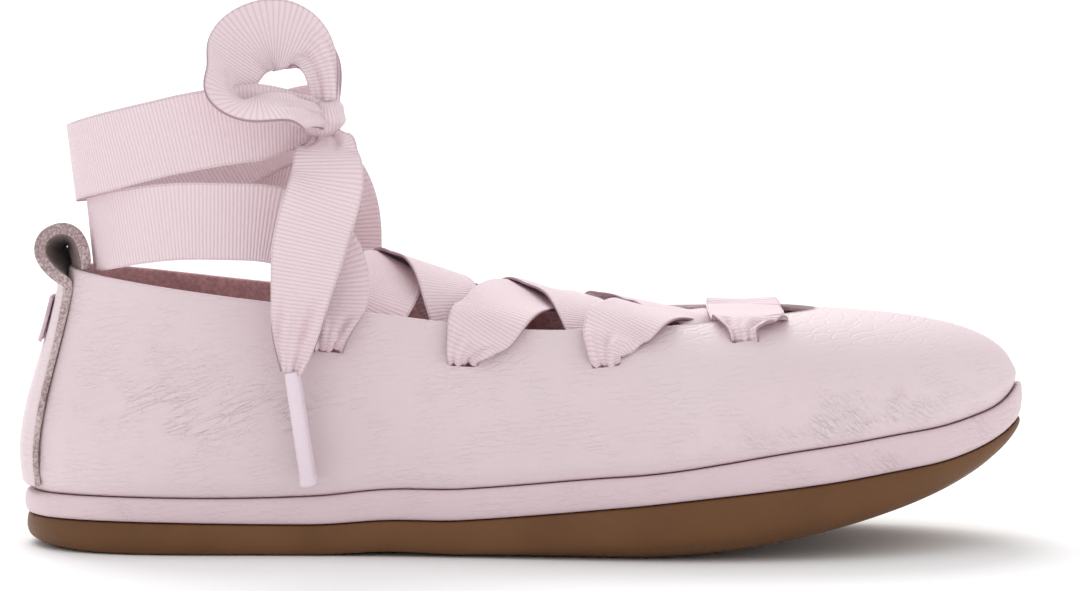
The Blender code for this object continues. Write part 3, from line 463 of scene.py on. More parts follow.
def wall(where, height):
    """A point of the upper's outer face: where round the last, height from sole 0 to topline 1."""
    where, height = np.broadcast_arrays(np.atleast_1d(where).astype(float), height)
    row = last_at(where)
    foot = sole_outline(where, FEATHER_INSET)
    foot = np.column_stack([foot, rand_top(foot[:, 0]) + FIT_GAP])
    rise = row.collar * COLLAR_HEIGHT + row.instep * INSTEP_HEIGHT
    top = np.column_stack([row.top_x * SOLE_LENGTH, row.top_y * BALL_WIDTH, rise])
    outwards = sole_outline(where, 0) - sole_outline(where, 0.001)
    outwards = np.column_stack([outwards / 0.001, np.zeros(len(where))])
    tall = (top - foot)[:, 2:]
    up = np.array([0, 0, 1.0])
    low = foot + outwards * (row.low_out * BALL_WIDTH)[:, None] + up * tall * row.low_up[:, None]
    away = foot - top
    away[:, 2] = 0
    away /= np.linalg.norm(away, axis=1)[:, None]
    turn = np.clip(row.top_out[:, None] * 4 - 0.2, 0, 1)
    away = away * turn + outwards * (1 - turn)
    high = top + away * (row.top_out * BALL_WIDTH)[:, None] - up * tall * row.top_down[:, None]
    t = np.asarray(height, float)[:, None]
    return (1 - t) ** 3 * foot + 3 * (1 - t) ** 2 * t * low + 3 * (1 - t) * t**2 * high + t**3 * top


def wall_normal(where, height):
    """The wall's unit normal, pointing out of the shoe."""
    small = 0.01
    around = wall(where + small, height) - wall(where - small, height)
    upwards = wall(where, np.minimum(height + small, 1.0)) - wall(where, height - small)
    normal = np.cross(around, upwards)
    return normal / np.linalg.norm(normal, axis=1)[:, None]


def on_wall(where, height, out):
    """One point at a distance outside the upper's outer face, or inside it if out is negative."""
    spot = np.array([float(where)])
    level = np.array([float(height)])
    return (wall(spot, level) + wall_normal(spot, level) * out)[0]


class Graph:
    """Adds nodes to a node tree and links them, with values or sockets given by input name."""

    def __init__(self, tree):
        self.tree = tree

    def add(self, kind, values=None, **settings):
        made = self.tree.nodes.new("ShaderNode" + kind)
        for key, value in settings.items():
            setattr(made, key, value)
        for key, value in (values or {}).items():
            self.put(made.inputs[key], value)
        return made

    def put(self, socket, value):
        if isinstance(value, bpy.types.NodeSocket):
            self.tree.links.new(value, socket)
        elif isinstance(value, tuple) and len(value) == 3 and socket.type == "RGBA":
            socket.default_value = (*value, 1)
        else:
            socket.default_value = value

    def maths(self, operation, *values, clamp=False):
        made = self.add("Math", dict(enumerate(values)), operation=operation, use_clamp=clamp)
        return made.outputs[0]

    def times(self, first, second):
        return self.maths("MULTIPLY", first, second)

    def plus(self, first, second, clamp=False):
        return self.maths("ADD", first, second, clamp=clamp)

    def less(self, first, second):
        return self.maths("SUBTRACT", first, second)

    def blend(self, share, first, second):
        return self.add("Mix", {0: share, 6: first, 7: second}, data_type="RGBA").outputs[2]

    def span(self, value, low, high, to_low=0.0, to_high=1.0, smooth=True):
        made = self.add("MapRange", {0: value, 1: low, 2: high, 3: to_low, 4: to_high})
        made.interpolation_type = "SMOOTHSTEP" if smooth else "LINEAR"
        return made.outputs[0]

    def noise(self, place, scale, detail=2.0, rough=0.5):
        values = {"Vector": place, "Scale": scale, "Detail": detail, "Roughness": rough}
        return self.add("TexNoise", values).outputs[0]

    def mapped(self, place, scale, turn, move):
        """A place turned and then stretched by scale along its new axes."""
        values = {"Vector": place, "Location": move, "Rotation": turn}
        values["Scale"] = tuple(1 / part for part in scale)
        return self.add("Mapping", values, vector_type="TEXTURE").outputs[0]

    def raise_shader(self, shader, height, lift):
        bump = self.add("Bump", {"Height": height, "Distance": lift, "Strength": 1.0})
        self.put(shader.inputs["Normal"], bump.outputs[0])


class Surface(Graph):
    """A shader group that gives a surface its colour, roughness and height."""

    def __init__(self, name, **inputs):
        super().__init__(bpy.data.node_groups.new(name, "ShaderNodeTree"))
        outputs = {"Color": "Color", "Roughness": "Float", "Height": "Float"}
        for way, sockets in (("INPUT", inputs), ("OUTPUT", outputs)):
            for label, kind in sockets.items():
                self.tree.interface.new_socket(label, in_out=way, socket_type="NodeSocket" + kind)
        self.given = self.tree.nodes.new("NodeGroupInput").outputs
        self.out = self.tree.nodes.new("NodeGroupOutput").inputs

    def give(self, colour, roughness, height):
        for label, value in (("Color", colour), ("Roughness", roughness), ("Height", height)):
            self.put(self.out[label], value)
        return self.tree


def crease_lines(graph, place, lines):
    """Fine meandering lines that run one way, 1 on a line and 0 off it."""
    depth, sway_size = 60.0, (0.55, 0.55, 0.55)
    scale = (lines.along, depth, lines.across)
    turned = graph.mapped(place, scale, (0.0, lines.turn, 0.0), lines.move)
    sway = graph.add("TexNoise", {"Vector": place, "Scale": 160.0, "Detail": 2.0}).outputs[1]
    bent = graph.add("VectorMath", {0: sway, 1: sway_size}, operation="MULTIPLY").outputs[0]
    moved = graph.add("VectorMath", {0: turned, 1: bent}, operation="ADD").outputs[0]
    cells = graph.add("TexVoronoi", {"Vector": moved, "Scale": 1.0}, feature="DISTANCE_TO_EDGE")
    broken = graph.span(graph.noise(place, 120.0), 0.35, 0.62, 0.15, 1.0)
    return graph.times(graph.span(cells.outputs[0], 0.0, lines.thin, 1.0, 0.0), broken)


def leather_skin_group():
    """Pores and grain with fine creases; the rear and toe creases are also darkened in colour,
    painted shade in the creases. Rear and Toe say how strong those families are.
    """
    graph = Surface("leather_skin", Place="Vector", Tone="Color", Shade="Color", Rear="Float",
                    Toe="Float")
    place = graph.given["Place"]
    pores = graph.add("TexVoronoi", {"Vector": place, "Scale": 1100.0}).outputs[0]
    grain = graph.noise(place, 700.0, 3.0, 0.6)
    clouds = graph.noise(place, 26.0, 3.0)
    rear, toe = (graph.maths("MAXIMUM", *(crease_lines(graph, place, lines) for lines in family))
                 for family in (REAR_LINES, TOE_LINES))
    rear, toe = graph.times(rear, graph.given["Rear"]), graph.times(toe, graph.given["Toe"])
    lines = graph.plus(rear, toe, clamp=True)
    fine = graph.times(crease_lines(graph, place, FINE_LINES), 0.62)
    skin = graph.plus(graph.times(pores, 0.16), graph.times(grain, 0.20))
    height = graph.less(graph.less(skin, lines), fine)
    patchy = graph.span(clouds, 0.35, 0.75, 0.0, 0.55)
    tint = graph.blend(patchy, graph.given["Tone"], graph.given["Shade"])
    # Painted shade: the rear and toe crease lines darken the colour towards a dusky pink.
    colour = graph.blend(graph.times(lines, 0.12), tint, (0.46, 0.33, 0.37))
    return graph.give(colour, graph.span(grain, 0.3, 0.7, 0.42, 0.56, False), height)


def suede_nap_group():
    """Short fibres, Grain to a metre, under soft patches of shade."""
    graph = Surface("suede_nap", Place="Vector", Tone="Color", Shade="Color", Grain="Float")
    fibres = graph.noise(graph.given["Place"], graph.given["Grain"], 4.0, 0.7)
    clouds = graph.noise(graph.given["Place"], 70.0, 3.0, 0.6)
    mixed = graph.plus(graph.times(fibres, 0.65), graph.times(clouds, 0.35))
    colour = graph.blend(graph.span(mixed, 0.38, 0.64), graph.given["Shade"], graph.given["Tone"])
    return graph.give(colour, graph.span(fibres, 0.3, 0.7, 0.85, 0.97, False), fibres)


def grosgrain_group():
    """Round ribs across the ribbon with a flat selvage at each side. Its colour follows the weave's
    height, so the grooves between the ribs and the gutter beside each selvage carry painted shade,
    and the rib tops and selvages carry painted highlight. Weave holds the place across the ribbon
    from 0 to 1 and the count of ribs along it."""
    graph = Surface("grosgrain", Weave="Vector", Place="Vector", Cloth="Color", Groove="Color")
    across, along = graph.add("SeparateXYZ", {0: graph.given["Weave"]}).outputs[:2]
    sway = graph.times(graph.noise(graph.given["Place"], 90.0), 0.5)
    ribs = graph.maths("SINE", graph.times(graph.plus(along, sway), math.pi))
    ribs = graph.maths("ABSOLUTE", ribs)
    side = graph.maths("ABSOLUTE", graph.less(across, 0.5))
    selvage = graph.span(side, 0.484, 0.492)
    gutter = graph.less(graph.span(side, 0.474, 0.480), graph.span(side, 0.484, 0.490))
    yarn = graph.times(graph.maths("SINE", graph.times(across, 230.0)), 0.10)
    woven = graph.times(graph.plus(ribs, yarn), graph.less(1.0, selvage))
    height = graph.plus(woven, graph.times(selvage, 0.75))
    height = graph.less(height, graph.times(gutter, 0.35))
    wear = graph.noise(graph.given["Place"], 45.0, 3.0)
    # Painted shade and highlight: the colour goes from the groove colour down in the grooves to the
    # cloth colour on the high weave, with random tone from the noise on top.
    light = graph.plus(graph.span(height, 0.05, 0.75, 0.0, 0.86), graph.times(wear, 0.2))
    colour = graph.blend(light, graph.given["Groove"], graph.given["Cloth"])
    return graph.give(colour, graph.span(height, 0.0, 1.0, 0.80, 0.62, False), height)


def finish_material(name, roughness=0.5, **sockets):
    """A material with its shader's plain sockets set, its graph and its shader."""
    made = bpy.data.materials.new(name)
    made.use_nodes = True
    graph = Graph(made.node_tree)
    shader = made.node_tree.nodes["Principled BSDF"]
    shader.inputs["Roughness"].default_value = roughness
    for label, value in sockets.items():
        graph.put(shader.inputs[label.replace("_", " ")], value)
    return made, graph, shader


def dressed(graph, shader, group, lift, **values):
    """Places a group in a material and gives the shader its colour, roughness and bump."""
    values["Place"] = graph.add("TexCoord").outputs["Object"]
    used = graph.add("Group", values, node_tree=group)
    graph.put(shader.inputs["Base Color"], used.outputs["Color"])
    graph.put(shader.inputs["Roughness"], used.outputs["Roughness"])
    graph.raise_shader(shader, used.outputs["Height"], lift)


def leather(name, tone, shade, skin, lift=0.00013):
    made, graph, shader = finish_material(name, Specular_IOR_Level=0.42)
    rear, toe = (graph.add("Attribute", attribute_name=at).outputs["Fac"] for at in ("rear", "toe"))
    dressed(graph, shader, skin, lift, Tone=tone, Shade=shade, Rear=rear, Toe=toe)
    return made


def suede(name, tone, shade, nap, grain=900.0, lift=0.00015):
    made, graph, shader = finish_material(name, 0.9, Specular_IOR_Level=0.2, Sheen_Weight=0.35,
                                          Sheen_Roughness=0.5)
    dressed(graph, shader, nap, lift, Tone=tone, Shade=shade, Grain=grain)
    return made


def ribbon_cloth(name, cloth, groove_shade, weave, lift=0.00016, **sockets):
    made, graph, shader = finish_material(name, 0.7, Specular_IOR_Level=0.3, Sheen_Weight=0.12,
                                          **sockets)
    lay = graph.add("UVMap", uv_map="UVMap").outputs[0]
    dressed(graph, shader, weave, lift, Weave=lay, Cloth=cloth, Groove=groove_shade)
    return made


def rubber(name, tone, shade, lift=0.00004):
    made, graph, shader = finish_material(name, Specular_IOR_Level=0.3)
    place = graph.add("TexCoord").outputs["Object"]
    clouds, fine = graph.noise(place, 40.0, 3.0), graph.noise(place, 900.0)
    graph.put(shader.inputs["Base Color"], graph.blend(graph.span(clouds, 0.3, 0.7), tone, shade))
    graph.put(shader.inputs["Roughness"], graph.span(fine, 0.3, 0.7, 0.44, 0.58, False))
    graph.raise_shader(shader, fine, lift)
    return made


def shaped(name, shape, finishes):
    """Makes a bmesh a piece of the scene with its finishes."""
    mesh = bpy.data.meshes.new(name)
    shape.to_mesh(mesh)
    shape.free()
    for finish in finishes:
        mesh.materials.append(finish)
    for face in mesh.polygons:
        face.use_smooth = True
    made = bpy.data.objects.new(name, mesh)
    bpy.context.scene.collection.objects.link(made)
    return made


def laid_grid(across, along, place, weave=(1.0, 1.0), flip=False, merge=False):
    """A flat grid whose corners are moved to place(u, v), with u and v from 0 to 1. Its UV map
    is u and v times weave."""
    shape = bmesh.new()
    layer = shape.loops.layers.uv.new("UVMap")
    bmesh.ops.create_grid(shape, x_segments=across, y_segments=along, size=0.5)
    shape.verts.ensure_lookup_table()
    flat = np.array([corner.co[:2] for corner in shape.verts])
    flat = (flat - flat.min(0)) / (flat.max(0) - flat.min(0))
    points = place(flat[:, 0], flat[:, 1]) + SHIFT
    for face in shape.faces:
        for loop in face.loops:
            u, v = flat[loop.vert.index]
            loop[layer].uv = (u * weave[0], v * weave[1])
    for corner, point in zip(shape.verts, points):
        corner.co = point
    if flip:
        bmesh.ops.reverse_faces(shape, faces=shape.faces)
    if merge:
        bmesh.ops.remove_doubles(shape, verts=shape.verts, dist=0.000002)
    return shape


def soft_patches(table, points):
    """How strongly each point lies in a table's patches."""
    total = np.zeros(len(points))
    for patch in table:
        near = (points[:, 0] - patch.x) / patch.reach_x
        high = (points[:, 2] - patch.z) / patch.reach_z
        same = points[:, 1] * patch.side > 0
        total += patch.strength * np.exp(-near**2 - high**2) * same
    return np.clip(total, 0, 1)


def crease_troughs(points):
    """How deep the main creases press the leather in at each point, ridges negative."""
    ridge_share, ridge_place, far = 0.45, 2.0, 1.0
    depth = np.zeros(len(points))
    flat = points[:, [0, 2]]
    for crease in CREASES:
        knots = np.array([[crease.x1, crease.z1], [crease.x2, crease.z2], [crease.x3, crease.z3]])
        nearest = np.full(len(points), far)
        along = np.zeros(len(points))
        for part, (start, end) in enumerate(zip(knots, knots[1:])):
            line = end - start
            share = np.clip((flat - start) @ line / (line @ line), 0, 1)
            gap = np.linalg.norm(flat - start - share[:, None] * line, axis=1)
            closer = gap < nearest
            nearest = np.where(closer, gap, nearest)
            along = np.where(closer, (part + share) / 2, along)
        fade = np.sin(np.pi * np.clip(along, 0.02, 0.98)) ** 0.7 * (points[:, 1] * crease.side > 0)
        across = nearest / crease.width
        ridge = ridge_share * np.exp(-((across - ridge_place) ** 2))
        depth += crease.depth * fade * (np.exp(-across**2) - ridge)
    return depth


def paint(piece, name, values):
    """Gives each point of a piece a number that its material reads by name."""
    layer = piece.data.attributes.new(name, "FLOAT", "POINT")
    layer.data.foreach_set("value", np.asarray(values, np.float32))


def own_points(piece):
    """A piece's points as places counted from the back of the sole."""
    points = np.empty(len(piece.data.vertices) * 3, np.float32)
    piece.data.vertices.foreach_get("co", points)
    return points.reshape(-1, 3).astype(float) - SHIFT


def face_middles(piece, axis):
    """Where the middle of each face lies along one axis of the UV map."""
    layer = piece.data.uv_layers["UVMap"].data
    return [sum(layer[k].uv[axis] for k in face.loop_indices) / face.loop_total
            for face in piece.data.polygons]


def ride(piece, slot, *nodes):
    """Ties a piece to the shoe and hides the solids that it stands for. slot is not used."""
    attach(piece, "root")
    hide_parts(*nodes)
    return piece


def slit_bars():
    """The round-ended bars that cut the slits, as one mesh."""
    shape = bmesh.new()
    nearby, deep = 0.05, 4
    for slit in SLITS:
        for where in (slit.station, len(LAST) - slit.station):
            centre = on_wall(where, slit.height, 0)
            along = on_wall(where + nearby, slit.height, 0)
            along = along - on_wall(where - nearby, slit.height, 0)
            along /= np.linalg.norm(along)
            out = wall_normal(np.array([float(where)]), np.array([float(slit.height)]))[0]
            across = np.cross(out, along)
            bar = bmesh.ops.create_cone(shape, cap_ends=True, segments=20, radius1=0.5, radius2=0.5,
                                        depth=1)
            for corner in bar["verts"]:
                end = math.copysign((SLIT_LENGTH - SLIT_HEIGHT) / 2, corner.co.x)
                spot = centre + along * (corner.co.x * SLIT_HEIGHT + end)
                spot = spot + across * corner.co.y * SLIT_HEIGHT
                corner.co = spot + out * corner.co.z * UPPER_WALL * deep + SHIFT
    bmesh.ops.recalc_face_normals(shape, faces=shape.faces)
    mesh = bpy.data.meshes.new("slit_bars")
    shape.to_mesh(mesh)
    shape.free()
    return mesh


def upper_rows():
    """Each row of the upper's shell from the outer wall's foot over the topline and down the
    lining: its height on the wall, over 1 on the rounded topline, and its depth behind the outer
    face."""
    rows = [(step / UP_THE_WALL, 0.0) for step in range(UP_THE_WALL + 1)]
    for step in range(1, OVER_THE_TOPLINE):
        turn = math.pi * step / OVER_THE_TOPLINE
        rows.append((1.0 + math.sin(turn) * 0.010, UPPER_WALL / 2 * (1 - math.cos(turn))))
    rows += [(1 - step / DOWN_THE_LINING, UPPER_WALL) for step in range(DOWN_THE_LINING + 1)]
    return np.array([*rows, (0.0, 0.0)])


def build_upper(skin, lining):
    """The upper's shell with its rounded topline, its creases and its slits."""
    rows = upper_rows()
    last_row = len(rows) - 1
    tuck_depth, tuck_end = 0.0003, 0.03
    swell_height, swell_middle, swell_reach = 0.0004, 0.09, 0.05
    topline_rise = 0.06

    def place(u, v):
        row = rows[np.round(v * last_row).astype(int)]
        where, height, depth = u * len(LAST), np.minimum(row[:, 0], 1.0), row[:, 1]
        face = wall(where, height)
        tuck = tuck_depth * np.clip(1 - height / tuck_end, 0, 1) ** 2
        swell = swell_height * np.exp(-(((height - swell_middle) / swell_reach) ** 2))
        lift = np.where(depth > 0, 0.0, swell - tuck - crease_troughs(face))
        spot = face + wall_normal(where, height) * (lift - depth)[:, None]
        spot[:, 2] += np.maximum(row[:, 0] - 1.0, 0) * topline_rise
        return spot

    shape = laid_grid(ROUND_THE_LAST, last_row, place, merge=True)
    upper = shaped("upper_shell", shape, [skin, lining])
    inner = [int(middle * last_row > UP_THE_WALL + 4) for middle in face_middles(upper, 1)]
    upper.data.polygons.foreach_set("material_index", inner)
    points = own_points(upper)
    paint(upper, "rear", soft_patches(REAR_WRINKLES, points))
    paint(upper, "toe", soft_patches(TOE_WRINKLES, points))
    bars = bpy.data.objects.new("slit_bars", slit_bars())
    bpy.context.scene.collection.objects.link(bars)
    cut = upper.modifiers.new("slits", "BOOLEAN")
    cut.operation = "DIFFERENCE"
    cut.object = bars
    graph = bpy.context.evaluated_depsgraph_get()
    carved = bpy.data.meshes.new_from_object(upper.evaluated_get(graph), depsgraph=graph)
    upper.modifiers.clear()
    upper.data = carved
    bpy.data.objects.remove(bars)
    return ride(upper, "upper_leather", "upper")


def slab_piece(name, rings, base_inset, level, finish):
    """A closed slab whose rings run round the sole's outline."""
    table = np.array(rings)

    def place(u, v):
        ring = table[np.round(v * (len(table) - 1)).astype(int)]
        where = u * len(LAST)
        inset = ring[:, 0] + base_inset
        plan, other = outline_at(where, inset), outline_at(len(LAST) - where, inset)
        plan = plan + (other - plan) * (ring[:, 2] / 2)[:, None]
        return np.column_stack([plan, level(plan[:, 0], ring[:, 1])])

    shape = laid_grid(ROUND_THE_SOLE, len(rings) - 1, place, flip=True, merge=True)
    return shaped(name, shape, [finish])


def outline_at(where, inset):
    """The sole's outline in plan, moved in by its own inset at each place."""
    edge = sole_outline(where, 0)
    inwards = (sole_outline(where, 0.001) - edge) / 0.001
    return edge + inwards * np.asarray(inset)[:, None]


def build_sole(gum, rand_skin, sock):
    """The gum outsole, the wrapped rand and the insole, each a slab on the one below."""
    def gum_level(x, share):
        roll = sides_at(x)[0]
        low = ground_line(x) + roll
        return np.where(share >= 0, low + (gum_top(x) - low) * share, low + roll * share)

    def rand_level(x, share):
        low = gum_top(x) + FIT_GAP
        return low + (rand_top(x) - low) * share

    def sock_level(x, share):
        return rand_top(x) + FIT_GAP + INSOLE_THICKNESS * share

    outsole = slab_piece("gum_outsole", GUM_RINGS, 0.0, gum_level, gum)
    ride(outsole, "gum_rubber", "outsole")
    rand = slab_piece("wrapped_rand", RAND_RINGS, 0.0, rand_level, rand_skin)
    paint(rand, "rear", np.zeros(len(rand.data.vertices)))
    paint(rand, "toe", soft_patches(RAND_CRACKS, own_points(rand)))
    ride(rand, "rand_leather", "midsole_rand")
    inset = FEATHER_INSET + UPPER_WALL + INSOLE_CLEARANCE
    insole = slab_piece("suede_insole", INSOLE_RINGS, inset, sock_level, sock)
    ride(insole, "insole_suede", "insole")


def heel_line(height, out, width):
    """Points across the back of the heel at one height, at a distance from the upper's outer
    face, evenly over a width."""
    probe = np.linspace(-0.8, 0.8, 81)
    levels = np.full(len(probe), height)
    line = wall(probe, levels) + wall_normal(probe, levels) * out
    run = np.concatenate([[0], np.cumsum(np.linalg.norm(np.diff(line, axis=0), axis=1))])
    run -= run[len(run) // 2]
    wanted = np.linspace(-width / 2, width / 2, BAND_POINTS)
    return np.stack([np.interp(wanted, run, line[:, k]) for k in range(3)], 1)


def strip_path():
    """Rows of the heel strip from the sole up the back of the heel, round the pull loop and down
    inside the collar, each a line of points across the strip. The strip widens downwards, and
    the loop is drawn in towards its hole at one side."""
    outer = FIT_GAP + STRIP_THICKNESS / 2
    inner = UPPER_WALL + 3 * FIT_GAP + STRIP_THICKNESS / 2
    rows = []
    for height in np.linspace(STRIP_FOOT, STRIP_TOP, STRIP_ROWS):
        width = STRIP_WIDTH * (STRIP_TOP_SHARE + STRIP_SPREAD * (1 - height) ** 0.8)
        rows.append(heel_line(height, outer, width))
    below = rows[-1]
    middle = below[2]
    hole = middle[[0, 2]] + np.array([0.0, LOOP_CENTRE * LOOP_HEIGHT])
    narrowing = 0.8
    drawn_in = np.linspace(0.3, 1.0, BAND_POINTS)
    for back, up in LOOP_TURN:
        line = below.copy()
        line[:, 0] = middle[0] + (below[:, 0] - middle[0]) * (1 - narrowing * min(up, 1))
        line[:, 0] += back * LOOP_DEPTH
        line[:, 2] = middle[2] + up * LOOP_HEIGHT
        for axis, centre in zip((0, 2), hole):
            line[:, axis] = centre + (line[:, axis] - centre) * drawn_in
        rows.append(line)
    rows += [heel_line(height, -inner, STRIP_WIDTH * 0.9) for height in STRIP_INSIDE]
    return np.array(rows)


def thick_band(name, path, thickness, across, finishes, bulge, swell=((0, 1), (1, 1))):
    """A closed band with rounded edges round path, a table of rows of points across it. The first
    finish is on its outer face, the second on its inner face and the third on its edges. bulge is
    how far the edges stand out, as a share of its thickness."""
    rows, points = path.shape[:2]
    face = 2 * across
    around = 2 * face + 2 * BAND_EDGE
    ahead, aside = 0.02, 0.05

    def read(at):
        table = natural_curve(np.arange(rows), path.reshape(rows, -1), at)
        return table.reshape(-1, points, 3)

    def place(u, v):
        step = np.round(u * around).astype(int) % around
        parts = [step <= face, step < face + BAND_EDGE, step <= 2 * face + BAND_EDGE, step < around]
        none = np.zeros(len(u))
        side = np.select(parts, [step / face, none + 1, 1 - (step - face - BAND_EDGE) / face, none])
        turn = np.select(parts, [none, step - face, none, step - 2 * face - BAND_EDGE]) / BAND_EDGE
        bend = 0.5 * np.cos(np.pi * turn)
        depth = np.select(parts, [none + 0.5, bend, none - 0.5, -bend])
        outwards = np.where(parts[2], 1.0, -1.0) * np.sin(np.pi * turn) * bulge
        at = v * (rows - 1)
        table = read(at)
        middle = row_interp(table, side)
        run = row_interp(read(np.minimum(at + ahead, rows - 1)), side) - middle
        run[v == 1] = [0, 0, -1.0]
        tangent = row_interp(table, np.minimum(side + aside, 1.0))
        tangent -= row_interp(table, np.maximum(side - aside, 0.0))
        tangent /= np.linalg.norm(tangent, axis=1)[:, None]
        normal = np.cross(tangent, run)
        normal /= np.linalg.norm(normal, axis=1)[:, None]
        thick = thickness * np.interp(v, *swell)
        return middle + normal * (depth * thick)[:, None] + tangent * (outwards * thick)[:, None]

    shape = laid_grid(around, BAND_ROWS, place, merge=True)
    ends = [line for line in shape.edges if line.is_boundary]
    bmesh.ops.holes_fill(shape, edges=ends, sides=0)
    bmesh.ops.recalc_face_normals(shape, faces=shape.faces)
    band = shaped(name, shape, finishes)
    for polygon, middle in zip(band.data.polygons, face_middles(band, 0)):
        step = middle * around
        on_edge = face < step < face + BAND_EDGE or step > 2 * face + BAND_EDGE
        polygon.material_index = 2 if on_edge or polygon.loop_total > 4 else int(step > face)
    return band


def row_interp(table, at):
    """Each row of a table of points, evenly spaced from 0 to 1, read at its own place."""
    where = at * (table.shape[1] - 1)
    low = np.clip(np.floor(where).astype(int), 0, table.shape[1] - 2)
    share = (where - low)[:, None]
    rows = np.arange(len(table))
    return table[rows, low] * (1 - share) + table[rows, low + 1] * share


def build_heel_strip(skin, nap, raw):
    """The strip with its pull loop: leather outside, nap inside and raw at its edges."""
    finishes = [skin, nap, raw]
    band = thick_band("heel_band", strip_path(), STRIP_THICKNESS, 7, finishes, bulge=0.12,
                      swell=STRIP_SWELL)
    count, wrinkles = len(band.data.vertices), 0.12
    paint(band, "rear", np.full(count, wrinkles))
    paint(band, "toe", np.zeros(count))
    return ride(band, "strip_leather", "heel_strip")


def build_heel_patch(cloth):
    """The blank woven patch on the heel strip."""
    out = FIT_GAP * 2 + STRIP_THICKNESS + PATCH_THICKNESS / 2
    heights = np.linspace(PATCH_LOW, PATCH_HIGH, 6)
    path = np.array([heel_line(height, out, PATCH_WIDTH) for height in heights])
    patch = thick_band("blank_patch", path, PATCH_THICKNESS, 5, [cloth, cloth, cloth], bulge=0.3)
    return ride(patch, "patch_weave", "heel_patch")


def ribbon_lines(rows, step):
    """A ribbon's middle line, its direction across, its width share and its run, evenly along
    the smooth line through its rows."""
    table = np.array(rows, float)
    for k in range(1, len(table)):
        if table[k, 3:6] @ table[k - 1, 3:6] < 0:
            table[k, 3:6] *= -1
    steps = np.linalg.norm(np.diff(table[:, :3], axis=0), axis=1)
    run = np.concatenate([[0], np.cumsum(steps)])
    count = max(8, round(run[-1] / step))
    at = np.linspace(0, run[-1], count + 1)
    fine = natural_curve(run, table, at)
    middle, up = fine[:, :3], fine[:, 3:6]
    share = np.clip(fine[:, 6], 0.2, 1.0)
    along = np.gradient(middle, axis=0)
    along /= np.linalg.norm(along, axis=1)[:, None]
    up = up - along * (up * along).sum(1)[:, None]
    up /= np.linalg.norm(up, axis=1)[:, None]
    return middle, up, along, share, at, run


def ribbon_grid(rows, folds=1.7):
    """Points of a ribbon, rows along it and columns across it, gathered in folds where narrow."""
    middle, up, along, share, at, run = ribbon_lines(rows, RIBBON_ROW_STEP)
    out = np.cross(along, up)
    across = np.linspace(-0.5, 0.5, RIBBON_COLUMNS + 1)
    chord = share * RIBBON_WIDTH
    loose, span, fullest = 0.82, 0.38, 0.78
    gathered = np.clip((loose - share) / span, 0, 1)
    tall = FOLD_HEIGHT * np.sin(math.pi * np.minimum(gathered, fullest)) ** 1.2
    turns = 2 * math.pi * across
    wave = np.cos(turns * folds + 0.9 + 0.5 * np.sin(at * 140)[:, None])
    wave += 0.45 * np.cos(turns * folds * 2.3 + at[:, None] * 260)
    wave -= 0.5 * np.cos(turns)
    points = middle[:, None, :] + up[:, None, :] * (chord[:, None] * across)[:, :, None]
    points += out[:, None, :] * (tall[:, None] * wave)[:, :, None]
    return points, middle, at, run


def ribbon_piece(name, points, finishes):
    """A woven ribbon through a grid of points, with its ribs counted along its UV map."""
    count, columns = points.shape[:2]
    length = np.linalg.norm(np.diff(points[:, columns // 2], axis=0), axis=1).sum()

    def place(u, v):
        row = np.round(v * (count - 1)).astype(int)
        column = np.round(u * (columns - 1)).astype(int)
        return points[row, column]

    shape = laid_grid(columns - 1, count - 1, place, (1.0, length / RIB_PITCH))
    made = shaped(name, shape, finishes)
    weave = made.modifiers.new("weave", "SOLIDIFY")
    weave.thickness = RIBBON_THICKNESS
    weave.offset = 0
    # The rim takes the second finish, which is painted darker as shade along the ribbon's edges.
    weave.material_offset_rim = 1
    return made


def crossing_rows(rear, front, side, crest, outside):
    """A crossing over the instep from a slit on one side, -1 for the outer side, to the next slit
    forward on the other side. outside says whether it leaves its rear slit on the upper's face."""
    clear = RIBBON_CLEARANCE + CAD_RIBBON
    skin = UPPER_WALL + RIBBON_CLEARANCE + CAD_RIBBON / 2
    here = rear.station if side < 0 else len(LAST) - rear.station
    there = len(LAST) - front.station if side < 0 else front.station
    gathered, full = 0.40, 1.0
    crown, narrow, forward = (0.0028, 0.9, 0.0) if side < 0 else (0.0014, 0.68, 0.0022)
    rows = []

    def row(point, share, up_y=0, up_z=0, up_x=-1):
        rows.append(RibbonRow(*point, up_x, up_y * -side, up_z, share))

    if outside:
        row(on_wall(here, rear.height + 0.02, clear), gathered)
        row(on_wall(here - side * 0.1, 0.95, clear * 1.3), 0.85, 0, 0.1)
        top = on_wall(here - side * 0.22, 1.0, 0) + np.array([0, -side * 0.0006, crown])
        row(top, full, 0.3, 0.2, -0.95)
    else:
        row(on_wall(here, rear.height + 0.03, -skin - clear * 0.8), gathered)
        row(on_wall(here - side * 0.2, 0.97, -skin - clear * 2), 0.9, 0.2, 0.3, -0.95)
    row((crest.along * SOLE_LENGTH, side * crest.across * BALL_WIDTH, crest.height * INSTEP_HEIGHT),
        full, 0.53, crest.lean, -0.85)
    tuck = on_wall(there - side * 0.12, 0.99, -skin - clear * 3) + np.array([forward, 0, 0.0012])
    row(tuck, narrow, 0, 0.15)
    depth = skin + clear * (1 if outside else 0.8)
    row(on_wall(there, front.height + 0.03, -depth), gathered)
    return rows


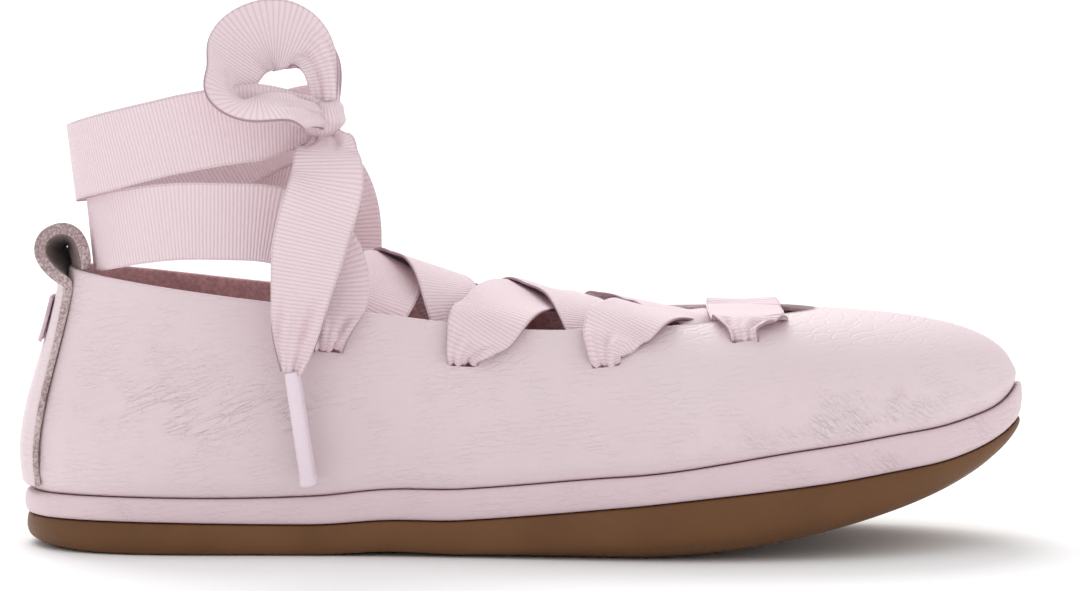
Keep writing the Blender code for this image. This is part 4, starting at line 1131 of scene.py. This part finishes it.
def bar_rows():
    """The straight bar between the two front slits, on top of the throat."""
    front = SLITS[-1]
    clear = RIBBON_CLEARANCE + CAD_RIBBON
    sides = []
    for where, side in ((front.station, -1), (len(LAST) - front.station, 1)):
        spots = [
            (on_wall(where, front.height + 0.02, clear), 0.36),
            (on_wall(where, 0.87, clear * 1.1) + np.array([0.0020, 0, 0]), 0.62),
            (on_wall(where, 0.95, clear * 1.15) + np.array([0.0042, 0, 0]), 0.88),
            (on_wall(where, 1.0, 0) + np.array([0.0062, side * -0.0010, 0.0005]), 1.0),
        ]
        sides.append([RibbonRow(*spot, -1, 0, 0, share) for spot, share in spots])
    middle = (np.array(sides[0][-1]) + np.array(sides[1][-1])) / 2
    middle[2] = BAR_CREST * INSTEP_HEIGHT
    near, far = (np.array(rows[-1]) * 0.7 + middle * 0.3 for rows in sides)
    over = [RibbonRow(*spot) for spot in (near, middle, far)]
    return [*sides[0], *over, *sides[1][::-1]]


def slit_row(slit, side):
    """The ribbon gathered in a slit."""
    below, gathered = 0.004, 0.36
    where = slit.station if side < 0 else len(LAST) - slit.station
    return RibbonRow(*on_wall(where, slit.height - below, -UPPER_WALL / 2), -1, 0, 0, gathered)


def blurred(values, reach):
    """A table of lifts, widened to its highest neighbours and then smoothed, along and across."""
    steps = range(-reach, reach + 1)
    for axis in (0, 1):
        values = np.max([np.roll(values, step, axis) for step in steps], 0)
    for axis in (0, 1, 0, 1):
        values = sum(np.roll(values, step, axis) for step in steps) / len(steps)
    return values


def grid_tree(points):
    """A search tree over a grid of points, for rays."""
    rows, columns = points.shape[:2]
    corners = (0, columns, columns + 1, 1)
    faces = [[i * columns + j + corner for corner in corners]
             for i in range(rows - 1) for j in range(columns - 1)]
    return BVHTree.FromPolygons(points.reshape(-1, 3).tolist(), faces)


def laid_over(points, below):
    """Lifts a strip's points so that it lies over the strips below it, the last laid first."""
    gap, from_above, blur, end_rows = RIBBON_THICKNESS + FIT_GAP, np.array([0, 0, 0.03]), 3, 9
    lift = np.zeros(points.shape[:2])
    for tree, most in zip(reversed(below), LAY_LIFTS):
        for i in range(points.shape[0]):
            for j in range(0, points.shape[1], 2):
                spot = points[i, j]
                hit = tree.ray_cast(Vector(spot + from_above), Vector((0, 0, -1)), 0.05)[0]
                if hit is not None:
                    wanted = min(hit[2] + gap - spot[2], most)
                    lift[i, j : j + 2] = np.maximum(lift[i, j : j + 2], wanted)
    lift = blurred(np.clip(lift, 0, LAY_LIFTS[0]), blur)
    row = np.arange(len(lift))
    ends = np.clip(np.minimum(row, len(lift) - 1 - row) / end_rows, 0, 1)
    points[:, :, 2] += lift * ends[:, None]


def build_lacing(cloth, edge):
    """The whole ribbon from the knot round the ankle, through the slits and back to the knot."""
    outer, inner = ([crossing_rows(*pair, side, crests[number], number > 0)
                     for number, pair in enumerate(zip(SLITS, SLITS[1:]))]
                    for side, crests in ((-1, OUTER_CRESTS), (1, INNER_CRESTS)))
    # Each stretch of the ribbon's way, and the slit and side that it ends in
    way = [
        ("ankle", OUTER_HALF[::-1], 0, -1), ("outer 0", outer[0], 1, 1),
        ("inner 1", inner[1], 2, -1), ("outer 2", outer[2], 3, 1),
        ("bar", bar_rows()[::-1], 3, -1), ("inner 2", inner[2][::-1], 2, 1),
        ("outer 1", outer[1][::-1], 1, -1), ("inner 0", inner[0][::-1], 0, 1),
    ]
    chain, spans = [], {}
    for name, rows, slit, side in way:
        spans[name] = (len(chain), len(chain) + len(rows) - 1)
        chain += [*rows, slit_row(SLITS[slit], side)]
    points, _, at, run = ribbon_grid([*chain, *INNER_HALF])
    below = []
    for name in ("outer 0", "inner 0", "outer 1", "inner 1", "outer 2", "inner 2"):
        first, last = (np.searchsorted(at, run[k]) for k in spans[name])
        strip = points[first : last + 1]
        laid_over(strip, below)
        below.append(grid_tree(strip))
    ribbon = ribbon_piece("laced_ribbon", points, [cloth, edge])
    return ride(ribbon, "ribbon_grosgrain", "ankle_ribbon_outer", "ankle_ribbon_inner",
                "lace_rear", "lace_middle", "lace_front")


def knot_rows():
    """The ribbon wound once round the knot, rising a little on its way."""
    x, y, z = KNOT_PLACE
    start, tilt, rise = 0.6, 0.0006, 0.00004
    rows = []
    for k in range(KNOT_STEPS + 1):
        turn = 2 * math.pi * k / KNOT_STEPS + start
        place = (x + math.cos(turn) * KNOT_WIDTH, y + math.sin(turn) * KNOT_DEPTH,
                 z + math.sin(turn) * tilt + k * rise)
        rows.append(RibbonRow(*place, 0.25, -0.1, 1.0, KNOT_SHARE))
    return rows


def build_knot(cloth, edge):
    """The knot's wrap, drawn in towards its middle at its edges."""
    points = ribbon_grid(knot_rows(), 1.0)[0]
    core = np.array(KNOT_PLACE[:2])
    drawn_in = 1 - 0.6 * np.abs(np.linspace(-1, 1, points.shape[1])) ** 3
    points[:, :, :2] = core + (points[:, :, :2] - core) * drawn_in[None, :, None]
    return ride(ribbon_piece("knot_wrap", points, [cloth, edge]), "ribbon_grosgrain", "bow_knot")


def build_aglet(name, last_row, foot, film, node):
    """A film-wrapped end: an oval rod, drawn in at its mouth and flared at its foot, with the
    film's edge lapped over. Places along it and round it are shares."""
    start, end = np.array(last_row[:3]), np.array(foot)
    along = (end - start) / np.linalg.norm(end - start)
    side = np.cross(along, [0, 1.0, 0])
    side /= np.linalg.norm(side)
    front = np.cross(side, along)
    hidden, extra, flatness = 0.0002, 0.0012, 0.82
    mouth_end, flare_from, flare_reach, cap_from = 0.05, 0.88, 0.08, 0.965
    lap_from, lap_reach, lap_height, rib_height = 0.62, 0.35, 0.045, 0.018

    def place(u, v):
        run = v * (AGLET_LENGTH + extra) - hidden
        turn = u * 2 * math.pi
        mouth = np.clip(v / mouth_end, 0, 1) ** 0.5
        closing = np.sqrt(np.clip(1 - ((v - cap_from) / 0.035).clip(0, 1) ** 2, 0.0, 1))
        lap = 1 + lap_height * np.clip((u - lap_from) / lap_reach, 0, 1)
        flare = 0.16 * np.clip((v - flare_from) / flare_reach, 0, 1) ** 2
        size = AGLET_RADIUS * (0.86 + 0.06 * mouth + 0.04 * v + flare)
        size = size * closing * lap * np.where(v <= 0, 0.0, 1.0)
        ribs = 1 + rib_height * np.cos(2 * math.pi * run / RIB_PITCH)
        spot = start + along * run[:, None]
        spot = spot + side * (np.cos(turn) * size * ribs)[:, None]
        return spot + front * (np.sin(turn) * size * ribs * flatness)[:, None]

    shape = laid_grid(28, 130, place, (2.2, AGLET_LENGTH / RIB_PITCH), merge=True)
    bmesh.ops.recalc_face_normals(shape, faces=shape.faces)
    return ride(shaped(name, shape, [film]), "aglet_film", node)


def build_bow(cloth, edge, film):
    """Each half of the bow is one ribbon: out of the knot, round its loop, back through the knot
    and down to its hard end."""
    knot = build_knot(cloth, edge)
    halves = [("near", "near", [*LOOP_NEAR, THROUGH_NEAR, *TAIL_NEAR], AGLET_NEAR_FOOT, [knot]),
              ("behind", "far", [*LOOP_FAR, THROUGH_FAR, *TAIL_BEHIND], AGLET_BEHIND_FOOT, [])]
    for label, loop, rows, foot, more in halves:
        points, middle = ribbon_grid(rows)[:2]
        half = ribbon_piece("bow_half_" + label, points, [cloth, edge])
        ride(half, "ribbon_grosgrain", "bow_loop_" + loop, "ribbon_tail_" + label)
        aglet = build_aglet("film_end_" + label, rows[-1], foot, film, "aglet_" + label)


def build_studio():
    """The camera at the photo's angle, soft light from above and a white floor."""
    scene = bpy.context.scene
    lens = bpy.data.cameras.new("camera")
    lens.lens = FOCAL_PIXELS / PHOTO_WIDTH * SENSOR
    lens.sensor_width = SENSOR
    lens.clip_end = 50
    camera = bpy.data.objects.new("camera", lens)
    back = Vector((0, -math.cos(CAMERA_TILT), math.sin(CAMERA_TILT))) * CAMERA_DISTANCE
    camera.location = Vector(CAMERA_AIM) + Vector(SHIFT) + back
    camera.rotation_euler = (math.pi / 2 - CAMERA_TILT, 0, 0)
    scene.collection.objects.link(camera)
    scene.camera = camera
    scene.view_settings.view_transform = "Standard"
    scene.view_settings.look = "None"
    world = bpy.data.worlds.new("studio")
    world.use_nodes = True
    dome = world.node_tree.nodes["Background"].inputs
    dome[0].default_value = (1, 1, 1, 1)
    dome[1].default_value = DOME_LIGHT
    scene.world = world
    sun = bpy.data.lights.new("soft_key", "SUN")
    sun.energy = KEY_LIGHT
    sun.angle = KEY_SPREAD
    key = bpy.data.objects.new("soft_key", sun)
    key.rotation_euler = Vector(KEY_FROM).to_track_quat("Z", "Y").to_euler()
    scene.collection.objects.link(key)
    shape = bmesh.new()
    bmesh.ops.create_grid(shape, x_segments=1, y_segments=1, size=FLOOR_SIZE)
    white = (0.99, 0.99, 0.99)
    paper = finish_material("floor_paper", 0.9, Base_Color=white, Specular_IOR_Level=0.0)[0]
    floor = shaped("floor", shape, [paper])


def main():
    build_studio()
    skin, nap, weave = leather_skin_group(), suede_nap_group(), grosgrain_group()
    upper_skin = leather("upper_leather", (0.75, 0.620, 0.650), (0.71, 0.577, 0.610), skin)
    rand_skin = leather("rand_leather", (0.72, 0.570, 0.605), (0.68, 0.530, 0.570), skin)
    lining = suede("lining_suede", (0.72, 0.45, 0.45), (0.50, 0.29, 0.30), nap)
    sock = suede("insole_suede", (0.68, 0.44, 0.44), (0.52, 0.31, 0.32), nap)
    band_nap = suede("band_suede", (0.30, 0.19, 0.17), (0.16, 0.09, 0.08), nap)
    raw = suede("raw_edge", (0.74, 0.62, 0.61), (0.30, 0.20, 0.21), nap, 1500.0, 0.0003)
    gum = rubber("gum_rubber", (0.162, 0.070, 0.024), (0.130, 0.054, 0.018))
    # The groove colours of the ribbon, the patch and the film are painted shade for the grooves
    # between the ribs.
    cloth = ribbon_cloth("ribbon_grosgrain", (0.845, 0.690, 0.725), (0.755, 0.582, 0.630), weave)
    # The ribbon's rim finish is painted darker than its faces: painted shade along the ribbon's
    # edges.
    edge = finish_material("ribbon_rim_painted_shade", 0.8, Base_Color=(0.40, 0.26, 0.31))[0]
    patch_cloth = ribbon_cloth("patch_weave", (0.70, 0.56, 0.60), (0.55, 0.41, 0.46), weave, 0.0001)
    film = ribbon_cloth("aglet_film", (0.82, 0.69, 0.76), (0.50, 0.37, 0.45), weave, 0.0003,
                        Coat_Weight=1.0, Coat_Roughness=0.06)
    build_bow(cloth, edge, film)
    build_lacing(cloth, edge)
    build_sole(gum, rand_skin, sock)
    build_upper(upper_skin, lining)
    build_heel_strip(upper_skin, band_nap, raw)
    build_heel_patch(patch_cloth)


main()
